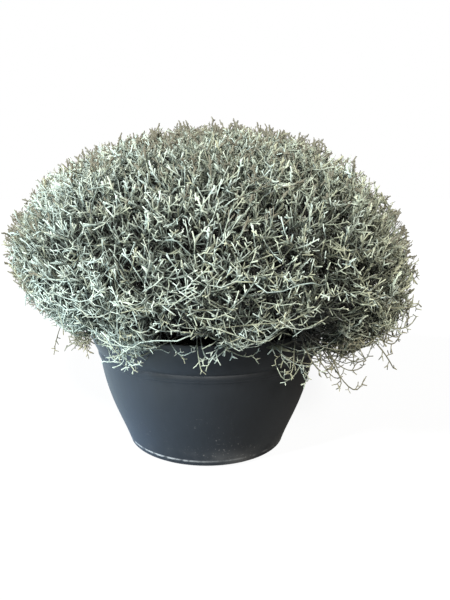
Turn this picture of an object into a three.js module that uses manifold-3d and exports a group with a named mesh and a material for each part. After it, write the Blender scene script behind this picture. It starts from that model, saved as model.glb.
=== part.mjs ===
// Potted cushion bush: a dome of fine, forked silver twigs that fills a round plastic bowl pot
// and hangs over its rim. Millimetres, +Z up. The origin is the middle of the pot's underside,
// at the level of the ground.
import * as THREE from "three";
import { mergeVertices } from "three/addons/utils/BufferGeometryUtils.js";
import Module from "manifold-3d";

const wasm = await Module();
wasm.setup();

// Pieces that touch keep this clearance.
const GAP = 0.3;
// Faces finer than this, left where two shapes were joined, are merged.
const FINEST = 0.08;

// The pot: a moulded shell on a notched foot ring.
const POT_SIDES = 36;
const WALL = 2.6;
const RIM_HEIGHT = 164;
const RIM_RADIUS = 150;
const FLOOR_UNDERSIDE = 4;
const FLOOR_TOP = 7;
const FOOT_INSIDE = 82;
const PAD_RADIUS = 17;
const NOTCHES = 6;
const NOTCH_WIDTH = 12;
const NOTCH_LENGTH = 30;
const DRAIN_HOLES = 6;
const DRAIN_RADIUS = 6;
const DRAIN_RING = 54;
// Radius and height up the outside: foot, bowl, raised bead, flared band, rim.
const POT_OUTSIDE = [
  [89, 0],
  [96, 4],
  [103, 12],
  [107.5, 25],
  [117, 45],
  [126, 70],
  [132.5, 95],
  [136.5, 118],
  [138.8, 120.5],
  [139.2, 126.5],
  [140.8, 129],
  [147, 145],
  [RIM_RADIUS, 158],
  [RIM_RADIUS, RIM_HEIGHT],
];
const POT_INSIDE_LEVELS = [158, 145, 118, 70, 25, FLOOR_TOP];

// The soil: a crowned plug with a hole for the woody base.
const SOIL_SIDES = 24;
const SOIL_EDGE = 146;
const SOIL_CROWN = 152;
const SOIL_BUMPS = 1.6;
const STUMP_RADIUS = 14.5;
const STUMP_DEPTH = 34;

// The heart is the knuckle where every limb leaves the woody base.
const HEART_HEIGHT = 172;
const KNUCKLE_RADIUS = 20;
const LIMB_START = 17;
const LIMB_END = 66;
const LIMB_RADIUS = 3.2;
const LIMB_SIDES = 5;

// The cushion: the height and the half width of its widest level, its top, and how far the skirt
// drops below that level. The plant leans to the right, where it is widest lower down and rounder
// above, the skirt drops least in front, and the surface swells in soft lobes.
const WAIST_HEIGHT = { mean: 243, right: -20 };
const WAIST_RADIUS = { mean: 250, right: 5 };
const DOME_TOP = 400;
const SKIRT_DROP = { mean: 126, right: -13, back: 17, sides: 9 };
const DOME_ROUNDNESS = { mean: 1.9, right: 0.16 };
const SKIRT_ROUNDNESS = 2.2;
const LOBE_DEPTH = 6;

// Rings of sprays: how far each ring leans from upright, how many it holds and where it starts,
// in degrees, with how far a single spray strays from its even place.
const LEAN_SWAY = 2.5;
const TURN_SWAY = 4;
const SPRAY_RINGS = [
  { name: "spray_top", lean: 0, count: 1, start: 0 },
  { name: "spray_high", lean: 33, count: 6, start: 12 },
  { name: "spray_side", lean: 61, count: 10, start: 30 },
  { name: "spray_skirt", lean: 88, count: 12, start: 4 },
];
// A spray's core widens from its stem to a knobbly end well under the cushion's surface: its
// radius and its distance from the heart, both as parts of the spray's reach.
const CORE_SIDES = 7;
const CORE_PROFILE = [
  [0.02, 0.36],
  [0.1, 0.48],
  [0.195, 0.62],
  [0.185, 0.72],
  [0.1, 0.8],
  [0, 0.82],
];
const CORE_BUMPS = 0.16;
const KNOBBLY_FROM = 0.45;
const CORE_MARGIN = 1.5;

// Twigs: each a bent stem with four side twigs, spread evenly over the cushion from its top to
// under its edge. The stem's rows of corners stand at these parts of its length, and a side twig
// grows from a face of the row that follows the one it names.
const TWIG_COUNT = 268;
const LOWEST_TWIG = 111;
const TWIG_SIDES = 3;
const TWIG_RADIUS = 1.35;
const TWIG_ROWS = [0, 0.4, 0.45, 0.66, 0.71];
const TWIG_FORKS = [
  { row: 1, side: 0, upper: false, spread: 0.12 },
  { row: 1, side: 1, upper: true, spread: 0.12 },
  { row: 3, side: 2, upper: false, spread: 0.075 },
  { row: 3, side: 0, upper: true, spread: 0.065 },
];
const FORK_LEAST_RISE = 0.12;
const TWIG_MARGIN = 1.8;
const TWIG_TAPER = 0.3;
const TWIG_STRAY = 0.035;
const LENGTH_SWAY = 0.03;
const FORK_SHORTER = 0.98;
// A root lies this far out, as a part of the reach, and this much on its spray's axis rather than
// straight under its tip. A twig sags in the middle and bends a little to one side.
const ROOT_DEPTH = 0.66;
const ROOT_ON_AXIS = 0.65;
const TWIG_SAG = 5;
const SIDE_BEND = 5;
// Twigs that end below the heart leave the end of their core, arch over the rim and hang.
const HANGING_ROOT_DEPTH = 0.7;
const ARCH_UP = 14;
const ARCH_OUT = 16;
const POT_CLEARANCE = 1.5;
const NEAREST_TO_POT = 9;
// Loose strands that hang over the pot's band: the turn round the pot in degrees, the distance
// from its axis and the height of the tip.
const STRANDS = [
  [-141, 185, 156],
  [-122, 170, 138],
  [-117, 167, 129],
  [-110, 168, 149],
  [-99, 168, 156],
  [-89, 170, 148],
  [-80, 170, 157],
  [-64, 170, 142],
  [-57, 171, 129],
  [-46, 196, 109],
  [-38, 205, 124],
  [-19, 226, 124],
  [12, 212, 116],
  [47, 190, 131],
  [71, 176, 127],
  [98, 172, 142],
  [131, 178, 134],
  [164, 182, 146],
  [197, 188, 139],
];
const STRAND_ARCH = 9;
const STRAND_FORK = 13;

const UP = new THREE.Vector3(0, 0, 1);
const ALONG_Y = new THREE.Vector3(0, 1, 0);
const GOLDEN_ANGLE = Math.PI * (3 - Math.sqrt(5));
const degrees = THREE.MathUtils.degToRad;

const plastic = new THREE.MeshStandardMaterial({ color: 0x3b4248, roughness: 0.55, metalness: 0 });
const compost = new THREE.MeshStandardMaterial({ color: 0x33271e, roughness: 1, metalness: 0 });
const bark = new THREE.MeshStandardMaterial({ color: 0x6f6252, roughness: 0.9, metalness: 0 });
const silver = new THREE.MeshStandardMaterial({ color: 0xa3ac9f, roughness: 0.85, metalness: 0 });

// A repeatable draw from 0 to 1 for a place in a row of draws.
function draw(index, channel) {
  const wave = Math.sin(index * 12.9898 + channel * 78.233) * 43758.5453;
  return wave - Math.floor(wave);
}

// The same draw, from -1 to 1.
function sway(index, channel) {
  return 2 * draw(index, channel) - 1;
}

// A closed geometry as a solid to join and cut. The optional move shifts each welded corner.
function solid(geometry, move) {
  const bare = new THREE.BufferGeometry();
  bare.setAttribute("position", geometry.getAttribute("position").clone());
  bare.setIndex(geometry.index);
  const welded = mergeVertices(bare, 1e-4);
  const corners = welded.getAttribute("position");
  for (let i = 0; move && i < corners.count; i += 1) {
    const corner = new THREE.Vector3().fromBufferAttribute(corners, i);
    move(corner, i);
    corners.setXYZ(i, corner.x, corner.y, corner.z);
  }
  const faces = [];
  for (let i = 0; i < welded.index.count; i += 3) {
    const face = welded.index.array.slice(i, i + 3);
    if (new Set(face).size === 3) faces.push(...face);
  }
  return new wasm.Manifold(
    new wasm.Mesh({
      numProp: 3,
      vertProperties: corners.array,
      triVerts: new Uint32Array(faces),
    }),
  );
}

// A profile of [radius, height] pairs turned round the Z axis.
function turned(profile, sides, move) {
  const points = profile.map(([radius, height]) => new THREE.Vector2(radius, height));
  return solid(new THREE.LatheGeometry(points, sides).rotateX(Math.PI / 2), move);
}

// Joins shapes into one solid.
function joined(shapes) {
  return wasm.Manifold.union(shapes).asOriginal().simplify(FINEST);
}

// The largest body of a shape: what a cut leaves loose is dropped.
function largest(shape) {
  return shape.decompose().reduce((a, b) => (a.volume() > b.volume() ? a : b));
}

function meshOf(name, shape, material) {
  const { vertProperties, triVerts } = shape.getMesh();
  const geometry = new THREE.BufferGeometry();
  geometry.setAttribute("position", new THREE.BufferAttribute(vertProperties, 3));
  geometry.setIndex(new THREE.BufferAttribute(triVerts, 1));
  geometry.computeVertexNormals();
  const mesh = new THREE.Mesh(geometry, material);
  mesh.name = name;
  return mesh;
}

// Pot

function potOutsideRadius(height) {
  const above = POT_OUTSIDE.findIndex(([, level]) => level >= height);
  if (above < 1) return POT_OUTSIDE[Math.max(above, 0)][0];
  const [lowRadius, low] = POT_OUTSIDE[above - 1];
  const [highRadius, high] = POT_OUTSIDE[above];
  return THREE.MathUtils.mapLinear(height, low, high, lowRadius, highRadius);
}

function potInsideRadius(height) {
  return potOutsideRadius(height) - WALL;
}

function makePot() {
  const shell = turned(
    [
      [0, 0],
      [PAD_RADIUS, 0],
      [PAD_RADIUS, FLOOR_UNDERSIDE],
      [FOOT_INSIDE, FLOOR_UNDERSIDE],
      [FOOT_INSIDE, 0],
      ...POT_OUTSIDE,
      [RIM_RADIUS - WALL, RIM_HEIGHT],
      ...POT_INSIDE_LEVELS.map((level) => [potInsideRadius(level), level]),
      [0, FLOOR_TOP],
    ],
    POT_SIDES,
  );
  const cuts = [];
  for (let i = 0; i < NOTCHES; i += 1) {
    const notch = new THREE.BoxGeometry(NOTCH_LENGTH, NOTCH_WIDTH, 2 * FLOOR_UNDERSIDE);
    notch.translate(FOOT_INSIDE + NOTCH_LENGTH / 3, 0, 0);
    notch.rotateZ(((i + 0.5) * 2 * Math.PI) / NOTCHES - Math.PI / 2);
    cuts.push(solid(notch));
  }
  for (let i = 0; i < DRAIN_HOLES; i += 1) {
    const drain = new THREE.CylinderGeometry(DRAIN_RADIUS, DRAIN_RADIUS, 4 * FLOOR_TOP, 12);
    drain.rotateX(Math.PI / 2).translate(DRAIN_RING, 0, 0);
    drain.rotateZ((i * 2 * Math.PI) / DRAIN_HOLES);
    cuts.push(solid(drain));
  }
  return largest(shell.subtract(joined(cuts)));
}

// Soil

function makeSoil() {
  const bottom = FLOOR_TOP + GAP;
  const below = POT_INSIDE_LEVELS.filter((level) => level > bottom && level < SOIL_EDGE - 2);
  const walls = [bottom, ...below.reverse(), SOIL_EDGE];
  const holeRadius = STUMP_RADIUS + GAP;
  const crumbs = (corner, index) => {
    const onTop = corner.z > SOIL_EDGE - 1 && Math.hypot(corner.x, corner.y) < 135;
    if (onTop) corner.z += SOIL_BUMPS * sway(index, 1);
  };
  return turned(
    [
      [0, bottom],
      ...walls.map((level) => [potInsideRadius(level) - 3 * GAP, level]),
      [118, SOIL_EDGE + 2],
      [80, SOIL_CROWN - 2],
      [45, SOIL_CROWN],
      [holeRadius, SOIL_CROWN],
      [holeRadius, SOIL_CROWN - STUMP_DEPTH],
      [0, SOIL_CROWN - STUMP_DEPTH],
    ],
    SOIL_SIDES,
    crumbs,
  );
}

// Cushion outline. From here on, places are measured from the heart.

// How far the cushion reaches from the heart in a direction.
function reach(direction) {
  const lean = Math.acos(THREE.MathUtils.clamp(direction.z, -1, 1));
  const turn = Math.atan2(direction.y, direction.x);
  const right = Math.cos(turn);
  const waist = WAIST_HEIGHT.mean + WAIST_HEIGHT.right * right;
  const wide = WAIST_RADIUS.mean + WAIST_RADIUS.right * right;
  const dome = DOME_ROUNDNESS.mean + DOME_ROUNDNESS.right * right;
  const drop =
    SKIRT_DROP.mean +
    SKIRT_DROP.right * right +
    SKIRT_DROP.back * Math.sin(turn) +
    SKIRT_DROP.sides * Math.cos(2 * turn);
  let near = 0;
  let far = 2 * wide;
  for (let i = 0; i < 30; i += 1) {
    const middle = (near + far) / 2;
    const out = (middle * Math.hypot(direction.x, direction.y)) / wide;
    const rise = middle * direction.z + HEART_HEIGHT - waist;
    const level = rise > 0 ? rise / (DOME_TOP - waist) : -rise / drop;
    const roundness = rise > 0 ? dome : SKIRT_ROUNDNESS;
    if (out ** roundness + level ** roundness < 1) near = middle;
    else far = middle;
  }
  const lobes = Math.sin(5 * turn + 3 * lean) * Math.sin(4 * lean + 1.3);
  return near + LOBE_DEPTH * lobes * Math.sin(lean);
}

// Sprays share the cushion between them: each owns the directions nearest to its own axis, so
// the border between two of them is a plane through the heart.
function makeSprays() {
  const sprays = [];
  for (const ring of SPRAY_RINGS) {
    for (let i = 0; i < ring.count; i += 1) {
      const seed = sprays.length + 1;
      const lean = degrees(ring.lean + (ring.count > 1 ? LEAN_SWAY * sway(seed, 2) : 0));
      const turn = degrees(ring.start + (360 * i) / ring.count + TURN_SWAY * sway(seed, 3));
      const axis = new THREE.Vector3().setFromSphericalCoords(1, lean, turn);
      axis.set(axis.x, -axis.z, axis.y);
      const name = ring.count > 1 ? `${ring.name}_${i + 1}` : ring.name;
      sprays.push({ name, axis, pieces: [] });
    }
  }
  for (const spray of sprays) {
    const others = sprays.filter((other) => other !== spray);
    spray.borders = others.map((other) => spray.axis.clone().sub(other.axis).normalize());
  }
  return sprays;
}

// Shifts a place until it lies inside its spray's share of the cushion, clear of every border.
function keepInside(place, spray, margin) {
  for (let pass = 0; pass < 3; pass += 1) {
    for (const border of spray.borders) {
      const short = margin - place.dot(border);
      if (short > 0) place.addScaledVector(border, short);
    }
  }
  return place;
}

function makeCore(spray, seed) {
  const span = reach(spray.axis);
  const stemEnd = LIMB_END + GAP;
  const points = [new THREE.Vector2(0, stemEnd), new THREE.Vector2(LIMB_RADIUS, stemEnd)];
  for (const [radius, distance] of CORE_PROFILE) {
    points.push(new THREE.Vector2(radius * span, distance * span));
  }
  const turn = new THREE.Quaternion().setFromUnitVectors(ALONG_Y, spray.axis);
  const knobbly = (corner, index) => {
    const bump = corner.y > KNOBBLY_FROM * span ? 1 + CORE_BUMPS * sway(index + 50 * seed, 4) : 1;
    corner.set(corner.x * bump, corner.y * (1 + (bump - 1) / 4), corner.z * bump);
    corner.applyQuaternion(turn);
    keepInside(corner, spray, CORE_MARGIN);
  };
  return solid(new THREE.LatheGeometry(points, CORE_SIDES), knobbly);
}

// A forked twig: a three-sided stem along a bent line, closed at its root and pointed at its tip.
// A side twig stands on one small face of the stem, whose three corners run out to its own tip.
function makeTwig(curve, outward, forks) {
  const corners = [];
  const faces = [];
  for (const place of TWIG_ROWS) {
    for (let side = 0; side < TWIG_SIDES; side += 1) {
      const out = outward(side).multiplyScalar(TWIG_RADIUS * (1 - TWIG_TAPER * place));
      corners.push(curve.getPoint(place).add(out));
    }
  }
  corners.push(curve.getPoint(1));
  const tip = corners.length - 1;
  faces.push([0, 2, 1]);
  for (let row = 0; row < TWIG_ROWS.length; row += 1) {
    for (let side = 0; side < TWIG_SIDES; side += 1) {
      const here = TWIG_SIDES * row + side;
      const next = TWIG_SIDES * row + ((side + 1) % TWIG_SIDES);
      if (row === TWIG_ROWS.length - 1) {
        faces.push([here, next, tip]);
        continue;
      }
      const halves = [
        [here, next, next + TWIG_SIDES],
        [here, next + TWIG_SIDES, here + TWIG_SIDES],
      ];
      for (const [half, face] of halves.entries()) {
        const fork = forks.find((one) => one.row === row && one.side === side && one.half === half);
        if (!fork || !standsClear(face.map((corner) => corners[corner]), fork.tip)) {
          faces.push(face);
          continue;
        }
        const point = corners.push(fork.tip) - 1;
        faces.push([face[0], face[1], point], [face[1], face[2], point], [face[2], face[0], point]);
      }
    }
  }
  return solid(new THREE.BufferGeometry().setFromPoints(corners).setIndex(faces.flat()));
}

// Whether a side twig's tip rises well off the face that it would grow from.
function standsClear([a, b, c], tip) {
  const across = new THREE.Vector3().crossVectors(b.clone().sub(a), c.clone().sub(a)).normalize();
  const run = tip.clone().sub(a);
  return run.dot(across) > FORK_LEAST_RISE * run.length();
}

// Where one twig starts and ends, how it bends, and where its side twigs reach.
function growTwig(sprays, index) {
  const level = 1 - (1 - Math.cos(degrees(LOWEST_TWIG))) * ((index + 0.5) / TWIG_COUNT);
  const turn = index * GOLDEN_ANGLE;
  const out = Math.sqrt(1 - level * level);
  const direction = new THREE.Vector3(out * Math.cos(turn), out * Math.sin(turn), level);
  direction.x += TWIG_STRAY * sway(index, 5);
  direction.y += TWIG_STRAY * sway(index, 6);
  direction.normalize();
  const spray = sprays.reduce((a, b) => (b.axis.dot(direction) > a.axis.dot(direction) ? b : a));
  const span = reach(direction);
  const hangs = direction.z < 0;

  const tip = direction.clone().multiplyScalar(span * (1 + LENGTH_SWAY * sway(index, 7)));
  keepInside(tip, spray, TWIG_MARGIN);
  const besidePot = Math.hypot(tip.x, tip.y) < RIM_RADIUS + NEAREST_TO_POT;
  if (besidePot && tip.z + HEART_HEIGHT < RIM_HEIGHT + NEAREST_TO_POT) return;
  const root = direction.clone().lerp(spray.axis, hangs ? 1 : ROOT_ON_AXIS);
  root.setLength(span * (hangs ? HANGING_ROOT_DEPTH : ROOT_DEPTH));
  const bend = root.clone().lerp(tip, 0.5);
  bend.addScaledVector(UP, hangs ? ARCH_UP : -TWIG_SAG);
  if (hangs) bend.add(new THREE.Vector3(bend.x, bend.y, 0).setLength(ARCH_OUT));
  bend.x += SIDE_BEND * sway(index, 8);
  bend.y += SIDE_BEND * sway(index, 9);
  keepInside(bend, spray, TWIG_MARGIN);

  const curve = new THREE.QuadraticBezierCurve3(root, bend, tip);
  const outward = facing(curve, 2 * Math.PI * draw(index, 10));
  const forks = TWIG_FORKS.map(({ row, side, upper, spread }, i) => {
    const to = direction.clone().addScaledVector(outward(side + 0.5), spread).normalize();
    to.multiplyScalar(reach(to) * (FORK_SHORTER + LENGTH_SWAY * sway(index, 11 + i)));
    return { row, side, half: upper ? 1 : 0, tip: keepInside(to, spray, TWIG_MARGIN) };
  });
  spray.pieces.push(makeTwig(curve, outward, forks));
}

// The direction straight out of a twig's corner, or between two corners for a half number.
function facing(curve, start) {
  const along = curve.v2.clone().sub(curve.v0).normalize();
  const across = new THREE.Vector3().crossVectors(along, ALONG_Y).normalize();
  const step = (2 * Math.PI) / TWIG_SIDES;
  return (side) => across.clone().applyAxisAngle(along, start + side * step);
}

// A loose strand arches from the end of a skirt core over the rim, and its forks curl up.
function hangStrand(sprays, [turn, radius, height], index) {
  const angle = degrees(turn);
  const out = new THREE.Vector3(Math.cos(angle), Math.sin(angle), 0);
  const skirt = sprays.filter(({ name }) => name.startsWith("spray_skirt"));
  const spray = skirt.reduce((a, b) => (b.axis.dot(out) > a.axis.dot(out) ? b : a));
  const tip = out.clone().multiplyScalar(radius).setZ(height - HEART_HEIGHT);
  keepInside(tip, spray, TWIG_MARGIN);
  const root = spray.axis.clone().multiplyScalar(HANGING_ROOT_DEPTH * reach(spray.axis));
  const bend = out.clone().multiplyScalar(radius + STRAND_ARCH).setZ(root.z);
  keepInside(bend, spray, TWIG_MARGIN);
  const curve = new THREE.QuadraticBezierCurve3(root, bend, tip);
  const outward = facing(curve, 2 * Math.PI * draw(index, 20));
  const forks = TWIG_FORKS.map(({ row, side, upper }) => {
    const to = curve.getPoint(TWIG_ROWS[row + 1]);
    to.addScaledVector(outward(side + 0.5), STRAND_FORK).addScaledVector(out, STRAND_FORK / 2);
    return { row, side, half: upper ? 1 : 0, tip: keepInside(to, spray, TWIG_MARGIN) };
  });
  spray.pieces.push(makeTwig(curve, outward, forks));
}

// The room that the pot and the soil take, with clearance: the sprays stay out of it.
function potRoom() {
  const wide = POT_OUTSIDE.map(([radius, level]) => [radius + POT_CLEARANCE, level]);
  const top = RIM_HEIGHT + POT_CLEARANCE;
  const profile = [[0, 0], ...wide, [RIM_RADIUS + POT_CLEARANCE, top], [0, top]];
  return turned(profile, POT_SIDES).translate([0, 0, -HEART_HEIGHT]);
}

// The woody base: a stump in the soil, a knuckle at the heart and one bare limb for each spray.
function makeWoodyBase(sprays) {
  const soilHole = SOIL_CROWN - STUMP_DEPTH + GAP - HEART_HEIGHT;
  const stump = turned(
    [
      [0, soilHole],
      [STUMP_RADIUS - 2, soilHole],
      [STUMP_RADIUS, soilHole + 6],
      [STUMP_RADIUS, SOIL_CROWN - HEART_HEIGHT],
      [STUMP_RADIUS - 2, SOIL_CROWN - HEART_HEIGHT + 6],
      [KNUCKLE_RADIUS - 2, -6],
      [KNUCKLE_RADIUS, 2],
      [KNUCKLE_RADIUS - 4, 12],
      [0, 19],
    ],
    12,
  );
  const limbs = sprays.map((spray) => {
    const turn = new THREE.Quaternion().setFromUnitVectors(ALONG_Y, spray.axis);
    const length = LIMB_END - LIMB_START;
    const limb = new THREE.CylinderGeometry(LIMB_RADIUS, LIMB_RADIUS, length, LIMB_SIDES);
    return solid(limb.translate(0, LIMB_START + length / 2, 0).applyQuaternion(turn));
  });
  return joined([stump, ...limbs]);
}

// Assembly: the pot stands at the origin, and the plant's frame sits at its heart.
const sprays = makeSprays();
for (let i = 0; i < TWIG_COUNT; i += 1) growTwig(sprays, i);
for (const [i, strand] of STRANDS.entries()) hangStrand(sprays, strand, i);
const room = potRoom();

const pot = new THREE.Group();
pot.add(meshOf("pot", makePot(), plastic), meshOf("soil", makeSoil(), compost));

const plant = new THREE.Group();
plant.position.z = HEART_HEIGHT;
plant.add(meshOf("woody_base", makeWoodyBase(sprays), bark));
for (const [i, spray] of sprays.entries()) {
  const grown = joined([makeCore(spray, i), ...spray.pieces]);
  plant.add(meshOf(spray.name, largest(grown.subtract(room)), silver));
}

const pottedBush = new THREE.Group();
pottedBush.add(pot, plant);
export default pottedBush;
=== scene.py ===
# %% [markdown]
# # Potted cushion bush
#
# A silver cushion bush grows in a round anthracite bowl pot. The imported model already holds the
# pot, the soil, the woody base and one solid for each spray of twigs, at real size. Here every
# one of them gets the finish and the fine form that the eye expects. Blender counts in metres, so
# real sizes are written in millimetres and turned into metres by one factor.

# %% Load the frame
import math

import bmesh
import bpy
import numpy as np
from mathutils import Euler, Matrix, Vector, noise


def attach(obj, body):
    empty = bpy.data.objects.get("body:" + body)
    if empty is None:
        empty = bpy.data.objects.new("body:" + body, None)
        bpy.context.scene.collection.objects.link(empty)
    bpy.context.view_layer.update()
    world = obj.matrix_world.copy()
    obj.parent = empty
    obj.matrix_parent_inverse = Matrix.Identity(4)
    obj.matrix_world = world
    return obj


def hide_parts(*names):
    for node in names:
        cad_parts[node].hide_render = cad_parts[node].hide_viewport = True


MM = 0.001
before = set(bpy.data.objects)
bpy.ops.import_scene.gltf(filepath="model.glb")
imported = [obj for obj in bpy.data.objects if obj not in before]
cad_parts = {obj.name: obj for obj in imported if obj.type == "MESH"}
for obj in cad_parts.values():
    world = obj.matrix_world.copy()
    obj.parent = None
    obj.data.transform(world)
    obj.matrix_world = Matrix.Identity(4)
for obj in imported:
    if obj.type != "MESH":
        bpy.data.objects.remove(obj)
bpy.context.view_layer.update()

# %% [markdown]
# ## Camera
#
# The camera comes first, because it says which side of the plant is the front. It stands 0.7 m in
# front of the pot, twice as high as the rim, and looks slightly down. A small sideways shift sets
# the pot left of the middle of the picture, as in the photograph.

# %% Camera
CAMERA_PLACE = (0, -701 * MM, 323 * MM)
CAMERA_PITCH = 11.4
LENS = 33.4
SIDE_SHIFT = 0.0307

camera_data = bpy.data.cameras.new("camera")
camera_data.lens = LENS
camera_data.sensor_width = 36
camera_data.shift_x = SIDE_SHIFT
camera_data.clip_start = 0.01
camera = bpy.data.objects.new("camera", camera_data)
camera.location = CAMERA_PLACE
camera.rotation_euler = (math.radians(90 - CAMERA_PITCH), 0, 0)
bpy.context.scene.collection.objects.link(camera)
bpy.context.scene.camera = camera

# %% [markdown]
# ## Writing materials as sums
#
# A material in Blender is a graph of nodes. Long graphs are hard to read, so one small class wraps
# an output socket and lets Python's own signs add the Math nodes. `1 - mask` then makes a
# Subtract node, and `blend` and `ramp` give the two nodes that carry colour.


# %% A socket that can be calculated with
class Field:
    """An output of a shader node that adds a Math node for each sign used on it."""

    def __init__(self, tree, output):
        self.tree = tree
        self.output = output

    def node(self, kind, settings=None, inputs=None, output=0):
        """Any node: its settings first, then its sockets' values or links."""
        made = self.tree.nodes.new(kind)
        for name, value in (settings or {}).items():
            setattr(made, name, value)
        for name, value in (inputs or {}).items():
            if isinstance(value, Field):
                self.tree.links.new(value.output, made.inputs[name])
            else:
                made.inputs[name].default_value = value
        return Field(self.tree, made.outputs[output])

    def math(self, operation, first, second=0.0):
        return self.node("ShaderNodeMath", {"operation": operation}, {0: first, 1: second})

    def __add__(self, other):
        return self.math("ADD", self, other)

    __radd__ = __add__

    def __mul__(self, other):
        return self.math("MULTIPLY", self, other)

    __rmul__ = __mul__

    def __sub__(self, other):
        return self.math("SUBTRACT", self, other)

    def __rsub__(self, other):
        return self.math("SUBTRACT", other, self)

    def between(self, low, high):
        """0 below low, 1 above high and a soft step from one to the other."""
        settings = {"interpolation_type": "SMOOTHSTEP"}
        return self.node(
            "ShaderNodeMapRange", settings, {"Value": self, "From Min": low, "From Max": high}
        )

    def noise(self, scale, detail=4.0):
        """Cloudy noise over a place: this field is the coordinate."""
        return self.node(
            "ShaderNodeTexNoise", {}, {"Vector": self, "Scale": scale, "Detail": detail}
        )

    def stretched(self, x, y, z):
        """The same coordinate with its axes scaled apart."""
        return self.node("ShaderNodeMapping", {}, {"Vector": self, "Scale": (x, y, z)})

    def part(self, axis):
        return self.node("ShaderNodeSeparateXYZ", {}, {"Vector": self}, "XYZ".index(axis))

    def ramp(self, *stops):
        """A colour for each place from 0 to 1: pairs of place and colour."""
        field = self.node("ShaderNodeValToRGB", {}, {"Fac": self})
        band = field.output.node.color_ramp
        while len(band.elements) < len(stops):
            band.elements.new(1.0)
        for element, (place, colour) in zip(band.elements, stops):
            element.position = place
            element.color = (*colour, 1)
        return field

    def blend(self, other, factor, kind="MIX"):
        """This colour mixed with another one, by a number or by a field."""
        second = other if isinstance(other, Field) else (*other, 1)
        settings = {"data_type": "RGBA", "blend_type": kind}
        return self.node("ShaderNodeMix", settings, {0: factor, 6: self, 7: second}, 2)

    def bump(self, strength, distance):
        """A normal that follows this field as a height."""
        inputs = {"Strength": strength, "Distance": distance, "Height": self}
        return self.node("ShaderNodeBump", {}, inputs)


def new_material(name, uv_map=None):
    """A material, its Principled shader and its coordinate: the object's own, or a UV map."""
    material = bpy.data.materials.new(name)
    material.use_nodes = True
    tree = material.node_tree
    shader = tree.nodes["Principled BSDF"]
    if uv_map:
        source = tree.nodes.new("ShaderNodeUVMap")
        source.uv_map = uv_map
        return material, shader, Field(tree, source.outputs["UV"])
    source = tree.nodes.new("ShaderNodeTexCoord")
    return material, shader, Field(tree, source.outputs["Object"])


def feed(shader, **inputs):
    """Sets or links sockets of a shader: Base_Color stands for Base Color."""
    for name, value in inputs.items():
        socket = shader.inputs[name.replace("_", " ")]
        if isinstance(value, Field):
            value.tree.links.new(value.output, socket)
        else:
            socket.default_value = value


# %% [markdown]
# ## Light and floor
#
# The photograph was taken in daylight that falls from the left and from above. Three suns do that:
# a cool one low on the left, a plain one from above the camera, and a weak warm one from behind on
# the right. The first two have small discs, because the crisp shade between the twigs is what lets
# the eye part one twig from the next. A sun lights the whole floor evenly, so the pale floor has
# no bright spot. The sky is brighter and bluer on the left, like a window wall, and the dark pot
# mirrors it. Only the camera sees the surroundings plain white.

# %% Light and floor
# Name, colour, strength, the disc's width, degrees from overhead, degrees round from the front.
SUNS = (
    ("key", (0.86, 0.95, 1.0), 4.8, 6, 60, -52),
    ("overhead", (1.0, 0.99, 0.96), 4.0, 8, 55, 8),
    ("back_light", (1.0, 0.93, 0.82), 0.7, 40, 48, 120),
)
SKY_STRENGTH = 0.75
FLOOR_SIZE = 30


def deselect_all():
    """Leave nothing selected, because an operator acts on all that is."""
    for thing in bpy.context.selected_objects:
        thing.select_set(False)


def add_sun(name, colour, strength, disc, tilt, turn):
    """A sun that stands `tilt` degrees from overhead, turned round the plant from the front."""
    data = bpy.data.lights.new(name, "SUN")
    data.color = colour
    data.energy = strength
    data.angle = math.radians(disc)
    sun = bpy.data.objects.new(name, data)
    sun.rotation_euler = (math.radians(tilt), 0, math.radians(turn))
    bpy.context.scene.collection.objects.link(sun)


for values in SUNS:
    add_sun(*values)

world = bpy.data.worlds.new("studio")
bpy.context.scene.world = world
world.use_nodes = True
world.node_tree.nodes.clear()
sight = world.node_tree.nodes.new("ShaderNodeTexCoord")
facing = Field(world.node_tree, sight.outputs["Generated"])
window = (facing.part("X") * 0.5 + 0.5).ramp(
    (0.0, (0.8, 1.1, 1.45)),
    (0.2, (0.2, 0.25, 0.32)),
    (0.5, (0.1, 0.1, 0.1)),
    (1.0, (0.07, 0.056, 0.04)),
)
dim = facing.node("ShaderNodeBackground", {}, {"Color": window, "Strength": SKY_STRENGTH})
plain = facing.node("ShaderNodeBackground", {}, {"Color": (1, 1, 1, 1)})
seen = facing.node("ShaderNodeLightPath")
either = facing.node("ShaderNodeMixShader", {}, {0: seen, 1: dim, 2: plain})
out = world.node_tree.nodes.new("ShaderNodeOutputWorld")
world.node_tree.links.new(either.output, out.inputs["Surface"])
bpy.context.scene.view_settings.view_transform = "Standard"

deselect_all()
bpy.ops.mesh.primitive_plane_add(size=FLOOR_SIZE, location=(0, 0, 0))
floor = bpy.context.object
floor.name = "floor"

# %% [markdown]
# ## Floor finish
#
# The floor is plain pale paint. A white floor throws so much light up that it would grey the dark
# pot, so only the camera sees it pale. To every other ray it is light and bluish on the left and
# dark on the right, and that bounce gives the pot's two sides their different tones.

# %% Floor paint
FLOOR_GLOW = 0.9
floor_finish, shader, place = new_material("floor_paint")
tree = place.tree
bounce = (place.part("X") + 0.5).ramp(
    (0.25, (0.88, 1.0, 1.0)),
    (0.4, (0.5, 0.63, 0.78)),
    (0.55, (0.18, 0.18, 0.18)),
    (1.0, (0.11, 0.1, 0.09)),
)
feed(shader, Base_Color=bounce, Roughness=0.9)
paint = place.node("ShaderNodeBsdfDiffuse", {}, {"Color": (0.9, 0.9, 0.9, 1)})
glow = place.node("ShaderNodeEmission", {}, {"Color": (1, 1, 1, 1)})
pale = place.node("ShaderNodeMixShader", {}, {0: FLOOR_GLOW, 1: paint, 2: glow})
seen = place.node("ShaderNodeLightPath")
either = place.node("ShaderNodeMixShader", {}, {0: seen, 2: pale})
tree.links.new(shader.outputs["BSDF"], either.output.node.inputs[1])
tree.links.new(either.output, tree.nodes["Material Output"].inputs["Surface"])
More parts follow.
